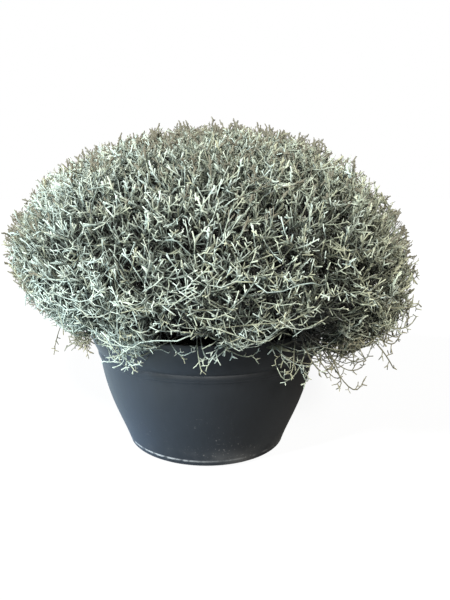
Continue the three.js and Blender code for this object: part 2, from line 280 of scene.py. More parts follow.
floor.data.materials.append(floor_finish)

# %% [markdown]
# ## Finish of the twigs
#
# The twigs are brown and woody near the heart and covered in silver felt further out. The palette
# also paints shade: the deeper a twig lies in the cushion, the darker it is, down to nearly black,
# as painted shade between the outer twigs. Thousands of twigs share this finish, so the colour is a
# palette on a UV map: u is the tone of one twig, and v runs from old bare wood in painted shade to
# fresh felt in full light. The tone goes from olive to blue, and its two ends are kept apart: the
# lowest is for dry straw, and the highest for twigs with brown buds. Nothing else is needed, so the
# finish can be baked to one small image. Felt scatters light at its edge, which a little sheen
# gives.

# %% Twig finish
PALETTE = "OFBake"
DRY_TONE, BUDDED_TONE = 0.02, 1.0
BUD_BROWN = (0.125, 0.106, 0.07)

twig_finish, shader, place = new_material("silver_felt", PALETTE)
tone = place.part("X")
along = place.part("Y")
# Along v the colour runs from bare old wood to fresh felt, and also from painted shade deep in the
# cushion to full light at its outline.
felt_and_depth_shade = along.ramp(
    (0.0, (0.012, 0.0105, 0.008)),
    (0.25, (0.03, 0.031, 0.023)),
    (0.5, (0.085, 0.1, 0.08)),
    (0.72, (0.25, 0.275, 0.24)),
    (0.88, (0.46, 0.51, 0.465)),
    (1.0, (0.58, 0.62, 0.555)),
)
tint = tone.ramp(
    (0.06, (0.5, 0.42, 0.3)),
    (0.12, (0.66, 0.6, 0.44)),
    (0.35, (0.86, 0.84, 0.7)),
    (0.55, (1.0, 1.0, 0.93)),
    (0.86, (0.94, 1.0, 0.98)),
    (0.92, (0.84, 0.83, 0.7)),
)
budded = tone.between(0.9, 0.92) * along.between(0.8, 0.9) * 0.9
colour = felt_and_depth_shade.blend(tint, 1.0, "MULTIPLY").blend(BUD_BROWN, budded)
feed(shader, Base_Color=colour, Roughness=0.8, Sheen_Weight=0.1, Sheen_Roughness=0.4)

# %% [markdown]
# ## One twiglet, modelled by hand
#
# Strands and thin tips end in short forked twiglets like the fingers of a coral, with blunt ends.
# A twiglet starts as a three-sided cylinder. Its top face is drawn out step by step, and near the
# top one side face is drawn out too, which makes the fork. A couple of dozen faces are enough,
# because the bush carries thousands of copies.

# %% Drawing out faces
def pick_face(piece, near):
    """Select only the face whose middle is nearest to a place, and give its middle and normal."""
    shape = bmesh.from_edit_mesh(piece.data)
    for face in shape.faces:
        face.select_set(False)
    face = min(shape.faces, key=lambda one: (one.calc_center_median() - near).length)
    face.select_set(True)
    bmesh.update_edit_mesh(piece.data)
    return face.calc_center_median(), face.normal.copy()


def draw_out(piece, near, move, taper):
    """Extrude the face nearest to a place, and make its new end narrower or wider."""
    middle, _ = pick_face(piece, near)
    bpy.ops.mesh.extrude_region_move(TRANSFORM_OT_translate={"value": move})
    bpy.ops.transform.resize(value=(taper, taper, taper), center_override=middle + move)
    return middle + move


def start_stick(name, sides, radius, height):
    """A short upright prism in edit mode, standing on the origin."""
    deselect_all()
    bpy.ops.mesh.primitive_cylinder_add(
        vertices=sides, radius=radius, depth=height, location=(0, 0, height / 2)
    )
    stick = bpy.context.object
    stick.name = name
    bpy.ops.object.transform_apply(location=True, rotation=False, scale=False)
    bpy.ops.object.mode_set(mode="EDIT")
    bpy.ops.mesh.select_mode(type="FACE")
    return stick


class Model:
    """A shape to copy: its corners, its faces and its place in the palette, as plain arrays.

    It gets fresher, with less painted shade, from its foot to its top, and by the spread also where
    it stands out sideways.
    """

    def __init__(self, stick, height, spread):
        bpy.ops.object.mode_set(mode="OBJECT")
        mesh = stick.data
        self.corners = np.empty(3 * len(mesh.vertices))
        mesh.vertices.foreach_get("co", self.corners)
        self.corners = self.corners.reshape(-1, 3)
        self.loops = np.empty(len(mesh.loops), int)
        mesh.loops.foreach_get("vertex_index", self.loops)
        self.starts = np.empty(len(mesh.polygons), int)
        mesh.polygons.foreach_get("loop_start", self.starts)
        self.triangles = sum(len(face.vertices) - 2 for face in mesh.polygons)
        self.height = height
        x, y, z = self.corners.T
        out = np.hypot(x, y)
        self.fresh_and_lit = np.clip(z / height + spread * out / height, 0, 1)
        self.side = np.arctan2(y, x) / (2 * math.pi) + 0.5
        bpy.data.objects.remove(stick)


# %% The twiglets
TWIG_SIDES = 3
TWIGLET_LENGTH = 12 * MM
TWIGLET_RADIUS = 0.6 * MM
NODE_HEIGHT = 1.1 * MM
# How far up it forks, the fork's angle, the finger's length, the stem's lean: mean and play.
FORK_AT, FORK_AT_PLAY = 0.42, 0.1
FORK_ANGLE, FORK_ANGLE_PLAY = 48, 10
FINGER, FINGER_PLAY = 0.8, 0.2
STEM_LEAN, STEM_LEAN_PLAY = 20, 8
END_TAPER = 0.9
TWIGLET_SPREAD, FROND_SPREAD = 0.25, 0.6


def draw(index, channel):
    """A repeatable draw from 0 to 1 for a place in a row of draws."""
    wave = math.sin(index * 12.9898 + channel * 78.233) * 43758.5453
    return wave - math.floor(wave)


def sway(index, channel):
    """The same draw, from -1 to 1."""
    return 2 * draw(index, channel) - 1


def model_twiglet(seed):
    """A short stem that parts into two blunt fingers, like the letter Y."""
    fork = TWIGLET_LENGTH * (FORK_AT + FORK_AT_PLAY * sway(seed, 1))
    stick = start_stick(f"twiglet_{seed}", TWIG_SIDES, TWIGLET_RADIUS, fork)
    top = draw_out(stick, Vector((0, 0, fork)), Vector((0, 0, NODE_HEIGHT)), 1.0)
    side = 2 * math.pi * draw(seed, 2)
    ring = fork + NODE_HEIGHT / 2
    near = Vector((TWIGLET_RADIUS * math.cos(side), TWIGLET_RADIUS * math.sin(side), ring))
    _, normal = pick_face(stick, near)
    angle = math.radians(FORK_ANGLE + FORK_ANGLE_PLAY * sway(seed, 3))
    finger = (TWIGLET_LENGTH - fork) * (FINGER + FINGER_PLAY * sway(seed, 4))
    out = normal * math.sin(angle) * finger + Vector((0, 0, math.cos(angle) * finger))
    draw_out(stick, near, out, END_TAPER)
    rest = TWIGLET_LENGTH - top.z
    lean = math.tan(math.radians(STEM_LEAN + STEM_LEAN_PLAY * sway(seed, 5)))
    draw_out(stick, top, Vector((0, 0, rest)) - normal * lean * rest, END_TAPER)
    return Model(stick, TWIGLET_LENGTH, TWIGLET_SPREAD)


twiglets = [model_twiglet(seed) for seed in range(1, 7)]
print("triangles of a twiglet:", twiglets[0].triangles)

# %% [markdown]
# ## Fronds and buds
#
# Most of the silver comes from slender shoots with short twigs on all sides, called fronds here.
# A frond could be drawn out face by face like a twiglet, but five side twigs are quicker to set as
# thin cones that start inside the stem. The end that hides in there is deleted. Along the outline
# the same shoot is short and stout, with its twigs close to it: that is a bud. There are six of
# each, so that neighbours seldom look alike.

# %% The fronds
FROND_LENGTH = 28 * MM
BUD_LENGTH = 17 * MM
# Radius, length, then the lean in degrees and the length of the lowest and of the top side twig.
FROND = (0.54 * MM, FROND_LENGTH, (56, 36), (9 * MM, 3.8 * MM))
BUD = (0.95 * MM, BUD_LENGTH, (40, 22), (5.5 * MM, 3.4 * MM))
FROND_STEPS = 2
FROND_TAPER = 0.94
SIDE_TWIGS = 5
SIDE_TWIG_GIRTHS = (0.95, 0.8)
FIRST_TWIG, LAST_TWIG = 0.16, 0.92
TWIG_TURN = math.radians(137.5)
TURN_PLAY, LEAN_PLAY, LENGTH_PLAY = 0.6, 7, 0.2


def add_side_twig(frond, radius, height, turn, lean, length):
    """One short twig on a frond in edit mode, without the end that hides in the stem."""
    foot = Vector((0, 0, height))
    ahead = Euler((0, lean, turn)).to_matrix() @ Vector((0, 0, length))
    bpy.ops.mesh.primitive_cone_add(
        vertices=TWIG_SIDES,
        radius1=SIDE_TWIG_GIRTHS[0] * radius,
        radius2=SIDE_TWIG_GIRTHS[1] * radius,
        depth=length,
        location=foot + ahead / 2,
        rotation=(0, lean, turn),
    )
    pick_face(frond, foot)
    bpy.ops.mesh.delete(type="ONLY_FACE")


def model_frond(name, seed, radius, height, leans, lengths):
    """A slender stem with short twigs on all sides, from the lowest lean and length to the top."""
    step = height / FROND_STEPS
    frond = start_stick(f"{name}_{seed}", TWIG_SIDES, radius, step)
    top = Vector((0, 0, step))
    for _ in range(1, FROND_STEPS):
        top = draw_out(frond, top, Vector((0, 0, step)), FROND_TAPER)
    for index in range(SIDE_TWIGS):
        part = index / (SIDE_TWIGS - 1)
        foot = height * (FIRST_TWIG + (LAST_TWIG - FIRST_TWIG) * part)
        turn = index * TWIG_TURN + TURN_PLAY * sway(seed, index)
        lean = leans[0] + (leans[1] - leans[0]) * part + LEAN_PLAY * sway(seed, 20 + index)
        length = lengths[0] + (lengths[1] - lengths[0]) * part
        length *= 1 + LENGTH_PLAY * sway(seed, 40 + index)
        add_side_twig(frond, radius, foot, turn, math.radians(lean), length)
    return Model(frond, height, FROND_SPREAD)


fronds = [model_frond("frond", seed, *FROND) for seed in range(1, 7)]
buds = [model_frond("bud", seed, *BUD) for seed in range(7, 13)]
print("triangles of a frond:", fronds[0].triangles)


# %% The plain stick that branches are bent from
KNOT = 0.16


def model_stick(name, sides, steps, end):
    """A straight stem one unit long and one unit in radius, a little knotty, thinner at its end."""
    step = 1 / steps
    stick = start_stick(name, sides, 1.0, step)
    top = Vector((0, 0, step))
    taper = end ** (1 / steps)
    for index in range(1, steps):
        knot = 1 + KNOT if index % 2 else 1 / (1 + KNOT)
        top = draw_out(stick, top, Vector((0, 0, step)), taper * knot)
    return Model(stick, 1.0, 0.0)


limb_stick = model_stick("limb_stick", 7, 6, 0.7)
branch_stick = model_stick("branch_stick", 4, 5, 0.62)
shoot_stick = model_stick("shoot_stick", TWIG_SIDES, 4, 0.8)
side_stick = model_stick("side_stick", TWIG_SIDES, 1, 1.0)
strand_stick = model_stick("strand_stick", 4, 10, 0.75)
sweep_stick = model_stick("sweep_stick", TWIG_SIDES, 9, 0.8)

# %% [markdown]
# ## The shape of the cushion
#
# The outline is a rule, not a mesh: for any direction from the heart, where the limbs meet, it
# says how far the foliage reaches. It is the rule that the solid sprays follow, so the twigs end
# where those end. A rounded dome and a rounded skirt meet at the waist. Slow waves then make broad
# lobes, quick ones make tufts, and a few soft hollows give the outline the dips that the
# photograph shows. It all works on whole arrays of directions at once.

# %% Cushion outline
# A hollow is a place in millimetres, the share of the reach that is lost there, and its width. A
# share below zero makes a bump.
HEART = np.array((0, 0, 172)) * MM
WAIST_HEIGHT, LOWER_RIGHT = 243 * MM, 20 * MM
WAIST_RADIUS, WIDER_RIGHT = 250 * MM, 5 * MM
DOME_TOP = 400 * MM
DROP_MEAN, DROP_RIGHT, DROP_BACK, DROP_SIDES = 126 * MM, -13 * MM, 17 * MM, 9 * MM
ROUNDNESS, ROUNDER_RIGHT = 1.9, 0.16
SKIRT_ROUNDNESS = 2.2
LOBE_DEPTH = 6 * MM
TUFT_RELIEF, TUFT_SHIFT = 0.024, 0.4
HALVINGS = 30
HOLLOWS = (
    (-70, -20, 390, 0.05, 0.1),
    (15, -30, 402, 0.02, 0.2),
    (165, -20, 350, 0.02, 0.3),
    (245, -20, 235, 0.015, 0.5),
    (-200, -20, 160, 0.065, 0.3),
    (-195, -20, 318, -0.008, 0.3),
)
UP = np.array((0.0, 0.0, 1.0))


def unit(vectors):
    return vectors / np.linalg.norm(vectors, axis=-1, keepdims=True)


def reach(directions):
    """How far the cushion reaches from its heart in each direction."""
    x, y, z = directions.T
    turn = np.arctan2(y, x)
    lean = np.arccos(np.clip(z, -1, 1))
    drop = DROP_MEAN + DROP_RIGHT * np.cos(turn) + DROP_BACK * np.sin(turn)
    drop = drop + DROP_SIDES * np.cos(2 * turn)
    dome = ROUNDNESS + ROUNDER_RIGHT * np.cos(turn)
    waist = WAIST_HEIGHT - LOWER_RIGHT * np.cos(turn)
    wide = WAIST_RADIUS + WIDER_RIGHT * np.cos(turn)
    near = np.zeros(len(directions))
    far = np.full(len(directions), 2 * WAIST_RADIUS)
    for _ in range(HALVINGS):
        middle = (near + far) / 2
        out = middle * np.hypot(x, y) / wide
        rise = middle * z + HEART[2] - waist
        level = np.where(rise > 0, rise / (DOME_TOP - waist), -rise / drop)
        roundness = np.where(rise > 0, dome, SKIRT_ROUNDNESS)
        inside = out**roundness + level**roundness < 1
        near = np.where(inside, middle, near)
        far = np.where(inside, far, middle)
    # The numbers in the waves only have to be out of step with each other.
    lobes = np.sin(5 * turn + 3 * lean) * np.sin(4 * lean + 1.3)
    tufts = np.sin(50 * x + 14 * z) * np.sin(9 * y - 31 * z + 2)
    share = 1 + TUFT_RELIEF * (tufts - TUFT_SHIFT)
    for *place, depth, width in HOLLOWS:
        middle = unit(np.array(place) * MM - HEART)
        apart = np.linalg.norm(directions - middle, axis=1)
        share = share - depth * np.exp(-((apart / width) ** 2))
    return (near + LOBE_DEPTH * lobes * np.sin(lean)) * share


# %% Sprays
SPRAY_RINGS = [("spray_top", 0, 1, 0), ("spray_high", 33, 6, 12)]
SPRAY_RINGS += [("spray_side", 61, 10, 30), ("spray_skirt", 88, 12, 4)]
LEAN_SWAY = 2.5
TURN_SWAY = 4

spray_names = []
spray_axes = []
for ring, lean, count, start in SPRAY_RINGS:
    for i in range(count):
        seed = len(spray_names) + 1
        tilt = math.radians(lean + (LEAN_SWAY * sway(seed, 2) if count > 1 else 0))
        turn = math.radians(start + 360 * i / count + TURN_SWAY * sway(seed, 3))
        spray_names.append(f"{ring}_{i + 1}" if count > 1 else ring)
        spray_axes.append(
            (math.sin(tilt) * math.sin(turn), -math.sin(tilt) * math.cos(turn), math.cos(tilt))
        )
spray_axes = np.array(spray_axes)
print(len(spray_names), "sprays")


def spray_of(directions):
    """The spray that each direction belongs to: the one with the nearest axis."""
    return np.argmax(directions @ spray_axes.T, axis=1)


# %% [markdown]
# ## How it branches
#
# Limbs fork into boughs, boughs into branches and branches into sprigs, and the sprigs carry the
# fronds. Each level has its ends spread evenly over the cushion at its own depth, and every stem
# starts on a near stem of the level before it. A stem leaves along its parent and turns to its
# own end: up and out on the dome, and in a sagging arch along the surface on the skirt. Low at the
# front the real plant is open, so there a share of the stems is left out.

# %% Curves in bulk
class Stems:
    """Many bent stems at once: four control points each, and the spray that each belongs to."""

    def __init__(self, points, wiggle, spray):
        self.points = points
        self.wiggle = wiggle
        self.spray = spray

    def take(self, which):
        return Stems(self.points[which], self.wiggle[which], self.spray[which])

    def place(self, along):
        """The point at a part of each stem's length; along has one row for each stem."""
        a, b, c, d = (self.points[:, None, k] for k in range(4))
        t = along[..., None]
        s = 1 - t
        swing = np.sin(2 * math.pi * 2 * t) * self.wiggle[:, None]
        return s**3 * a + 3 * s * s * t * b + 3 * s * t * t * c + t**3 * d + swing

    def heading(self, along):
        a, b, c, d = (self.points[:, None, k] for k in range(4))
        t = along[..., None]
        s = 1 - t
        return unit(s * s * (b - a) + 2 * s * t * (c - b) + t * t * (d - c))

    def length(self):
        steps = np.linspace(0, 1, 9)[None].repeat(len(self.points), 0)
        walk = np.diff(self.place(steps), axis=1)
        return np.linalg.norm(walk, axis=-1).sum(1)


# %% Growing one level from another
SEED = 20240
chance = np.random.default_rng(SEED)
GOLDEN_ANGLE = math.pi * (3 - math.sqrt(5))
LOWEST = 112
SKIRT_FROM, SKIRT_FALL = 0.3, 0.45
OPEN_TURN = math.radians(-60)
OPEN_FROM, OPEN_FALL = 0.75, 0.6
OPEN_ROUND = 0.45
# Metres added to the distance of a stem in another spray, so that it is never the nearest.
OTHER_SPRAY = 10.0
START_BEND, END_BEND = 0.36, 0.4
NEARLY_FLAT = (1, 1, 0.001)
DOME_LIFT = 0.65
SKIRT_OUT, SKIRT_LIFT = 0.5, 0.6
HEADING_STRAY, TRAIL_STRAY = 0.5, 0.6
FLAT_ON_DOME, FLATTER_ON_SKIRT = 0.2, 0.5
EARLY_SAG = 0.3
STEM_WIGGLE = 0.025


def spread_directions(count, stray):
    """Directions spread evenly over the cushion, from its top to under its edge."""
    index = np.arange(count)
    level = 1 - (1 - math.cos(math.radians(LOWEST))) * (index + 0.5) / count
    out = np.sqrt(1 - level**2)
    turn = index * GOLDEN_ANGLE
    even = np.stack([out * np.cos(turn), out * np.sin(turn), level], 1)
    return unit(even + stray * chance.normal(size=even.shape))


def lowness(directions):
    """0 on the dome and 1 on the skirt, with a soft change between them."""
    return np.clip((SKIRT_FROM - directions[..., 2:]) / SKIRT_FALL, 0, 1)


def openness(directions):
    """0 where the twigs are dense, above and at the back, up to 1 low at the front right."""
    turn = np.arctan2(directions[..., 1:2], directions[..., :1])
    low = np.clip((OPEN_FROM - directions[..., 2:]) / OPEN_FALL, 0, 1)
    return low * np.clip(OPEN_ROUND + (1 - OPEN_ROUND) * np.cos(turn - OPEN_TURN), 0, 1)


def thinned(stems, share):
    """The stems with some left out at random where the cushion is open."""
    clear = openness(unit(stems.points[:, 3] - HEART))[:, 0]
    return stems.take(chance.uniform(size=len(clear)) > share * clear)


def growth_heading(directions):
    """Which way a tip points: out and up on the dome, mostly up and a little out on the skirt."""
    flat = unit(directions * NEARLY_FLAT)
    low = lowness(directions)
    high = unit(directions + DOME_LIFT * UP)
    return unit(high * (1 - low) + unit(SKIRT_OUT * flat + SKIRT_LIFT * UP) * low)


def along_surface(vectors, places, share):
    """Vectors turned more along the cushion's surface: a share of their way outwards is lost."""
    out = unit(places - HEART)
    return unit(vectors - share * (vectors * out).sum(-1, keepdims=True) * out)


def grow(parents, directions, depth, start_range, choices, sag, stray):
    """Stems that end at a depth under the surface and start on a near stem of the last level.

    The depth is a share of the reach, the start range a share of the parent's length, and the
    choices say how many of the nearest parents one is picked from.
    """
    spray = spray_of(directions)
    ends = HEART + directions * (reach(directions) * depth)[:, None]
    offset = ends[:, None] - parents.points[None, :, 3]
    elsewhere = OTHER_SPRAY * (spray[:, None] != parents.spray[None])
    apart = np.linalg.norm(offset, axis=2) + elsewhere
    order = np.argsort(apart, axis=1)
    rows = np.arange(len(directions))
    near = order[rows, (chance.uniform(size=len(directions)) * choices).astype(int)]
    near = np.where(apart[rows, near] > OTHER_SPRAY, order[:, 0], near)
    parent = parents.take(near)
    at = chance.uniform(*start_range, size=(len(directions), 1))
    starts = parent.place(at)[:, 0]
    along = parent.heading(at)[:, 0]
    run = np.linalg.norm(ends - starts, axis=1)[:, None]
    low = lowness(directions)
    drop = -low * sag * UP * run
    lead = starts + along * run * START_BEND + stray * chance.normal(size=ends.shape)
    lead = lead + drop * EARLY_SAG
    settle = unit(growth_heading(directions) + HEADING_STRAY * chance.normal(size=ends.shape))
    settle = along_surface(settle, ends, FLAT_ON_DOME + FLATTER_ON_SKIRT * low)
    trail = ends - settle * run * END_BEND + drop
    trail = trail + TRAIL_STRAY * stray * chance.normal(size=ends.shape)
    wiggle = STEM_WIGGLE * run * chance.normal(size=ends.shape)
    return Stems(np.stack([starts, lead, trail, ends], 1), wiggle, spray)


# %% Limbs, branches and sprigs
BOUGHS, BRANCHES, SPRIGS = 190, 800, 4500
SPRIG_DEPTH, SPRIG_LAYER = 0.86, 0.115
SPRIG_CHOICES, MORE_CHOICES_LOW = 10, 12
LEFT_OUT = 0.2
LIMB_END = 66 * MM
LIMB_WIGGLE = 1.2 * MM
# Leaders are the tallest shoots along the crown: how far to the right and how high their tips are.
LEADERS = ((-88, 383), (-30, 401), (32, 397), (47, 397), (73, 396), (115, 391), (130, 389))
LEADER_TIPS = 4
LEADER_SCATTER = (4, 7, 4)
LEADER_BUD = 0.7 * FROND_LENGTH
limb_ends = HEART + spray_axes * LIMB_END
centre = HEART[None].repeat(len(spray_axes), 0)
controls = [centre + (limb_ends - centre) * part for part in (0.15, 0.4, 0.7, 1)]
sway_aside = LIMB_WIGGLE * chance.normal(size=centre.shape)
limbs = Stems(np.stack(controls, 1), sway_aside, np.arange(len(spray_axes)))

boughs = grow(limbs, spread_directions(BOUGHS, 0.03), 0.52, (0.9, 1.0), 1, 0.1, 5 * MM)
branches = grow(boughs, spread_directions(BRANCHES, 0.03), 0.74, (0.6, 1.0), 3, 0.15, 7 * MM)
sprig_ways = spread_directions(SPRIGS, 0.012)
depths = SPRIG_DEPTH + SPRIG_LAYER * np.sqrt(chance.uniform(size=len(sprig_ways)))
choices = SPRIG_CHOICES + MORE_CHOICES_LOW * lowness(sprig_ways)[:, 0]
sprigs = grow(branches, sprig_ways, depths, (0.3, 1.0), choices, 0.16, 9 * MM)
sprigs = thinned(sprigs, LEFT_OUT)
places = np.array([(x, 0, z - LEADER_BUD / MM) for x, z in LEADERS]).repeat(LEADER_TIPS, 0)
places = (places + LEADER_SCATTER * chance.normal(size=places.shape)) * MM - HEART
depths = np.linalg.norm(places, axis=1) / reach(unit(places))
leaders = grow(branches, unit(places), depths, (0.3, 1.0), 10, 0, 5 * MM)
print(len(boughs.points), "boughs,", len(branches.points), "branches")

# %% [markdown]
# ## The thicket inside
#
# A bush of this age is full of old bare twigs that cross each other in the shade. They keep
# daylight from shining through from the far side, and what shows of them between the silver
# shoots is dark brown, darkened further in the palette as painted shade. They are plain stems,
# thrown a little askew.

# %% Old inner twigs
THICKET = 1500
THICKET_INNER, THICKET_OUTER = (0.3, 0.5), (0.62, 0.84)
THICKET_ASKEW, THICKET_BEND = 0.4, 8 * MM


def grow_thicket(count):
    """Bare twigs that run askew from the inner boughs to the branches."""
    directions = spread_directions(count, 0.12)
    askew = unit(directions + THICKET_ASKEW * chance.normal(size=directions.shape))
    spray = spray_of(directions)
    depth = chance.uniform(*THICKET_INNER, count)
    inner = HEART + directions * (reach(directions) * depth)[:, None]
    depth = chance.uniform(*THICKET_OUTER, count)
    outer = HEART + askew * (reach(askew) * depth)[:, None]
    bend = THICKET_BEND * chance.normal(size=(2, count, 3))
    lead = inner + (outer - inner) / 3 + bend[0]
    trail = inner + (outer - inner) * 2 / 3 + bend[1]
    return Stems(np.stack([inner, lead, trail, outer], 1), 0.1 * bend[0], spray)


thicket = grow_thicket(THICKET)

# %% [markdown]
# ## Loose strands over the rim
#
# The photograph shows single strands that hang in front of the pot's band and curl up at their
# ends. They are what makes the edge of the plant look grown, so each has its own place: its
# distance from the pot's axis in millimetres, and then the turn round the pot in degrees and the
# height in millimetres of three points, where it comes out of the foliage, where it is lowest and
# where it ends. Towards the back, where the photograph shows nothing, a few more follow at like
# heights.

# %% Strands
STRANDS = (
    (173, -150, 184, -150, 164, -142, 154),
    (169, -143, 186, -141, 164, -138, 156),
    (175, -151, 179, -144, 161, -135, 163),
    (174, -135, 182, -138, 163, -143, 153),
    (176, -136, 173, -144, 158, -155, 141),
    (171, -147, 188, -147, 160, -149, 146),
    (176, -139, 180, -139, 158, -135, 152),
    (168, -154, 186, -150, 170, -141, 164),
    (170, -156, 192, -152, 168, -143, 170),
    (171, -148, 188, -152, 162, -158, 166),
    (173, -152, 190, -147, 170, -138, 168),
    (169, -144, 184, -149, 158, -154, 152),
    (168, -158, 190, -153, 174, -145, 168),
    (174, -132, 176, -137, 160, -146, 156),
    (168, -131, 166, -127, 147, -122, 152),
    (170, -126, 173, -123, 152, -127, 143),
    (168, -122, 172, -120, 152, -119, 143),
    (170, -120, 168, -119, 148, -114, 147),
    (168, -119, 168, -117, 149, -114, 147),
    (170, -132, 173, -128, 160, -124, 161),
    (171, -123, 165, -120, 152, -121, 143),
    (168, -109, 176, -112, 164, -117, 161),
    (168, -103, 173, -100, 161, -96, 162),
    (168, -94, 177, -93, 162, -92, 147),
    (169, -92, 176, -90, 157, -85, 163),
    (171, -83, 183, -86, 168, -89, 154),
    (170, -88, 176, -79, 159, -73, 163),
    (173, -76, 183, -81, 175, -86, 169),
    (168, -71, 177, -65, 166, -59, 168),
    (170, -67, 169, -59, 146, -51, 138),
    (172, -51, 152, -59, 128, -66, 144),
    (171, -59, 165, -58, 146, -60, 135),
    (169, -62, 169, -63, 156, -62, 147),
    (172, -45, 118, -51, 120, -55, 132),
    (180, -58, 173, -52, 144, -46, 128),
    (186, -57, 169, -48, 137, -43, 122),
    (195, -49, 166, -45, 136, -44, 119),
    (192, -33, 163, -45, 143, -52, 138),
    (200, -48, 142, -38, 108, -28, 109),
    (198, -49, 148, -41, 132, -30, 125),
    (202, -47, 157, -39, 140, -29, 136),
    (234, -42, 174, -38, 155, -32, 132),
    (234, -44, 180, -37, 165, -30, 161),
    (238, -44, 190, -37, 173, -29, 169),
    (250, -47, 197, -39, 184, -27, 186),
    (252, -45, 212, -38, 205, -30, 202),
    (176, 6, 170, 12, 138, 20, 132),
    (184, 40, 168, 46, 140, 50, 146),
    (174, 72, 172, 70, 140, 66, 131),
    (172, 104, 170, 98, 150, 93, 154),
    (178, 126, 168, 131, 140, 134, 134),
    (184, 158, 172, 164, 150, 171, 152),
    (188, 192, 170, 197, 146, 200, 139),
)
LOWEST_PART = 0.65
ENDS_FURTHER_OUT = 4


def ring_places(turn, radius, height):
    """Places on rings round the pot's axis, from degrees and millimetres."""
    turn = np.radians(turn)
    return np.stack([radius * np.cos(turn), radius * np.sin(turn), height], 1) * MM


def hang_strands(parents):
    """A stem from the nearest branch through each strand's three places."""
    radius, turn_out, height_out, turn_low, height_low, turn_end, height_end = np.array(STRANDS).T
    out = ring_places(turn_out, radius, height_out)
    bottom = ring_places(turn_low, radius, height_low)
    ends = ring_places(turn_end, radius + ENDS_FURTHER_OUT, height_end)
    spray = spray_of(unit(out - HEART))
    apart = np.linalg.norm(out[:, None] - parents.points[None, :, 3], axis=2)
    apart = apart + OTHER_SPRAY * (spray[:, None] != parents.spray[None])
    starts = parents.points[np.argmin(apart, axis=1), 3]
    t, s = LOWEST_PART, 1 - LOWEST_PART
    rest = bottom - s**3 * starts - 3 * s * s * t * out - t**3 * ends
    return Stems(np.stack([starts, out, rest / (3 * s * t * t), ends], 1), 0 * ends, spray)


# %% [markdown]
# ## Keeping out of the pot
#
# Stems that hang over the rim must not cut through the wall. Any point that lies in the wall or
# the soil is lifted over the rim or pushed out to the band, whichever is nearer.

# %% Pot profile, and the room that it takes
RIM_HEIGHT = 164 * MM
RIM_RADIUS = 150 * MM
WALL = 2.6 * MM
BAND_FOOT = 129 * MM
BAND_RADIUS = 140.8 * MM
BEAD_LOW = 120.5 * MM
BEAD_HIGH = 126.5 * MM
FOOT_RADIUS = 89 * MM
POT_CLEARANCE = 1.6 * MM
MOUTH_RADIUS = RIM_RADIUS - 12 * MM
SOIL_TOP = 152 * MM
BOWL_LEVELS = np.array((4, 12, 25, 45, 70, 95, 118)) * MM
BOWL_RADII = np.array((100.5, 104, 108, 117, 126, 132.5, 136.5)) * MM


def pot_radius(height):
    """The pot's outside radius at a height, over the foot: bowl, bead and flared band."""
    levels = (*BOWL_LEVELS, BEAD_LOW, BEAD_HIGH, BAND_FOOT, 145 * MM, 158 * MM)
    radii = (*BOWL_RADII, 138.8 * MM, 139.2 * MM, BAND_RADIUS, 147 * MM, RIM_RADIUS)
    return np.interp(height, levels, radii)


def clear_of_pot(places):
    """Moves points out of the pot's wall and out of the soil."""
    moved = places.copy()
    out = np.linalg.norm(moved[..., :2], axis=-1)
    height = moved[..., 2]
    wall = pot_radius(height) + POT_CLEARANCE
    top = RIM_HEIGHT + POT_CLEARANCE
    in_wall = (height < top) & (out < wall) & (out > MOUTH_RADIUS)
    push = in_wall & (wall - out < top - height)
    scale = np.where(push, wall / np.maximum(out, 1e-6), 1.0)
    moved[..., 0] *= scale
    moved[..., 1] *= scale
    moved[..., 2] = np.where(in_wall & ~push, top, height)
    over_soil = (out <= MOUTH_RADIUS) & (moved[..., 2] < SOIL_TOP + POT_CLEARANCE)
    moved[..., 2] = np.where(over_soil, SOIL_TOP + POT_CLEARANCE, moved[..., 2])
    return moved


# %% [markdown]
# ## Shoots and twiglets
#
# Sprigs carry fronds on both sides by turns and a tip at the end. Every new stem leaves its parent
# at an angle, lies along the cushion's surface, and bends a little towards the light. Where it
# would stand past the outline it is drawn back, apart from a few that the real plant also has.
# Nothing grows just over the rim, where the photograph shows a dark gap, and in front the foliage
# ends in a wavy hem.

# %% Sprouting
PROUD_SHARE, PROUD_BY = 0.05, 0.035
OUTLINE_ROOM, TUFT_ROOM = 1.005, 0.045
SPROUT_WIGGLE = 0.045
PLACE_STRAY, ASIDE_STRAY = 0.05, 0.35
SWING_SPREAD, LENGTH_SPREAD = 0.25, 0.25
LENGTH_LIMITS = (0.5, 1.6)
TESTED_AT = (0.6, 0.8, 1.0)
RIM_GAP_OUT, RIM_GAP_UP = 22 * MM, 10 * MM
HEM_TURN, HEM_WIDTH = math.radians(-80), math.radians(25)
HEM_HEIGHT, HEM_RISE = 116 * MM, 0.287
HEM_WAVE, HEM_WAVES = 17 * MM, 4.4


def off_the_rim(stems):
    """Only the stems that keep away from the rim, and in front also from the gap over it."""
    x, y, z = np.moveaxis(stems.place(np.tile(TESTED_AT, (len(stems.points), 1))), -1, 0)
    out = np.hypot(x, y)
    near_rim = (z < RIM_HEIGHT + RIM_GAP_UP) & (out < RIM_RADIUS + RIM_GAP_OUT)
    turn = np.arctan2(y, x) - HEM_TURN
    hem = HEM_HEIGHT + HEM_RISE * out + HEM_WAVE * np.sin(HEM_WAVES * turn) ** 2
    under_hem = (np.abs(turn) < HEM_WIDTH) & (z < hem)
    return stems.take(~(near_rim[:, -1] | under_hem.any(1)))


def drawn_back(ends, parents):
    """Tips that stand too far out, drawn back to a little above the tip that they grow beside."""
    beside = parents.points[:, 3] - HEART
    tall = np.linalg.norm(beside, axis=1, keepdims=True)
    tip = tall / reach(beside / tall)[:, None]
    most = np.maximum(tip, OUTLINE_ROOM + PROUD_BY * (chance.uniform(size=tip.shape) < PROUD_SHARE))
    limit = np.minimum(tip + TUFT_ROOM, most)
    away = ends - HEART
    far = np.linalg.norm(away, axis=1, keepdims=True)
    return HEART + away * np.minimum(1, reach(away / far)[:, None] * limit / far)


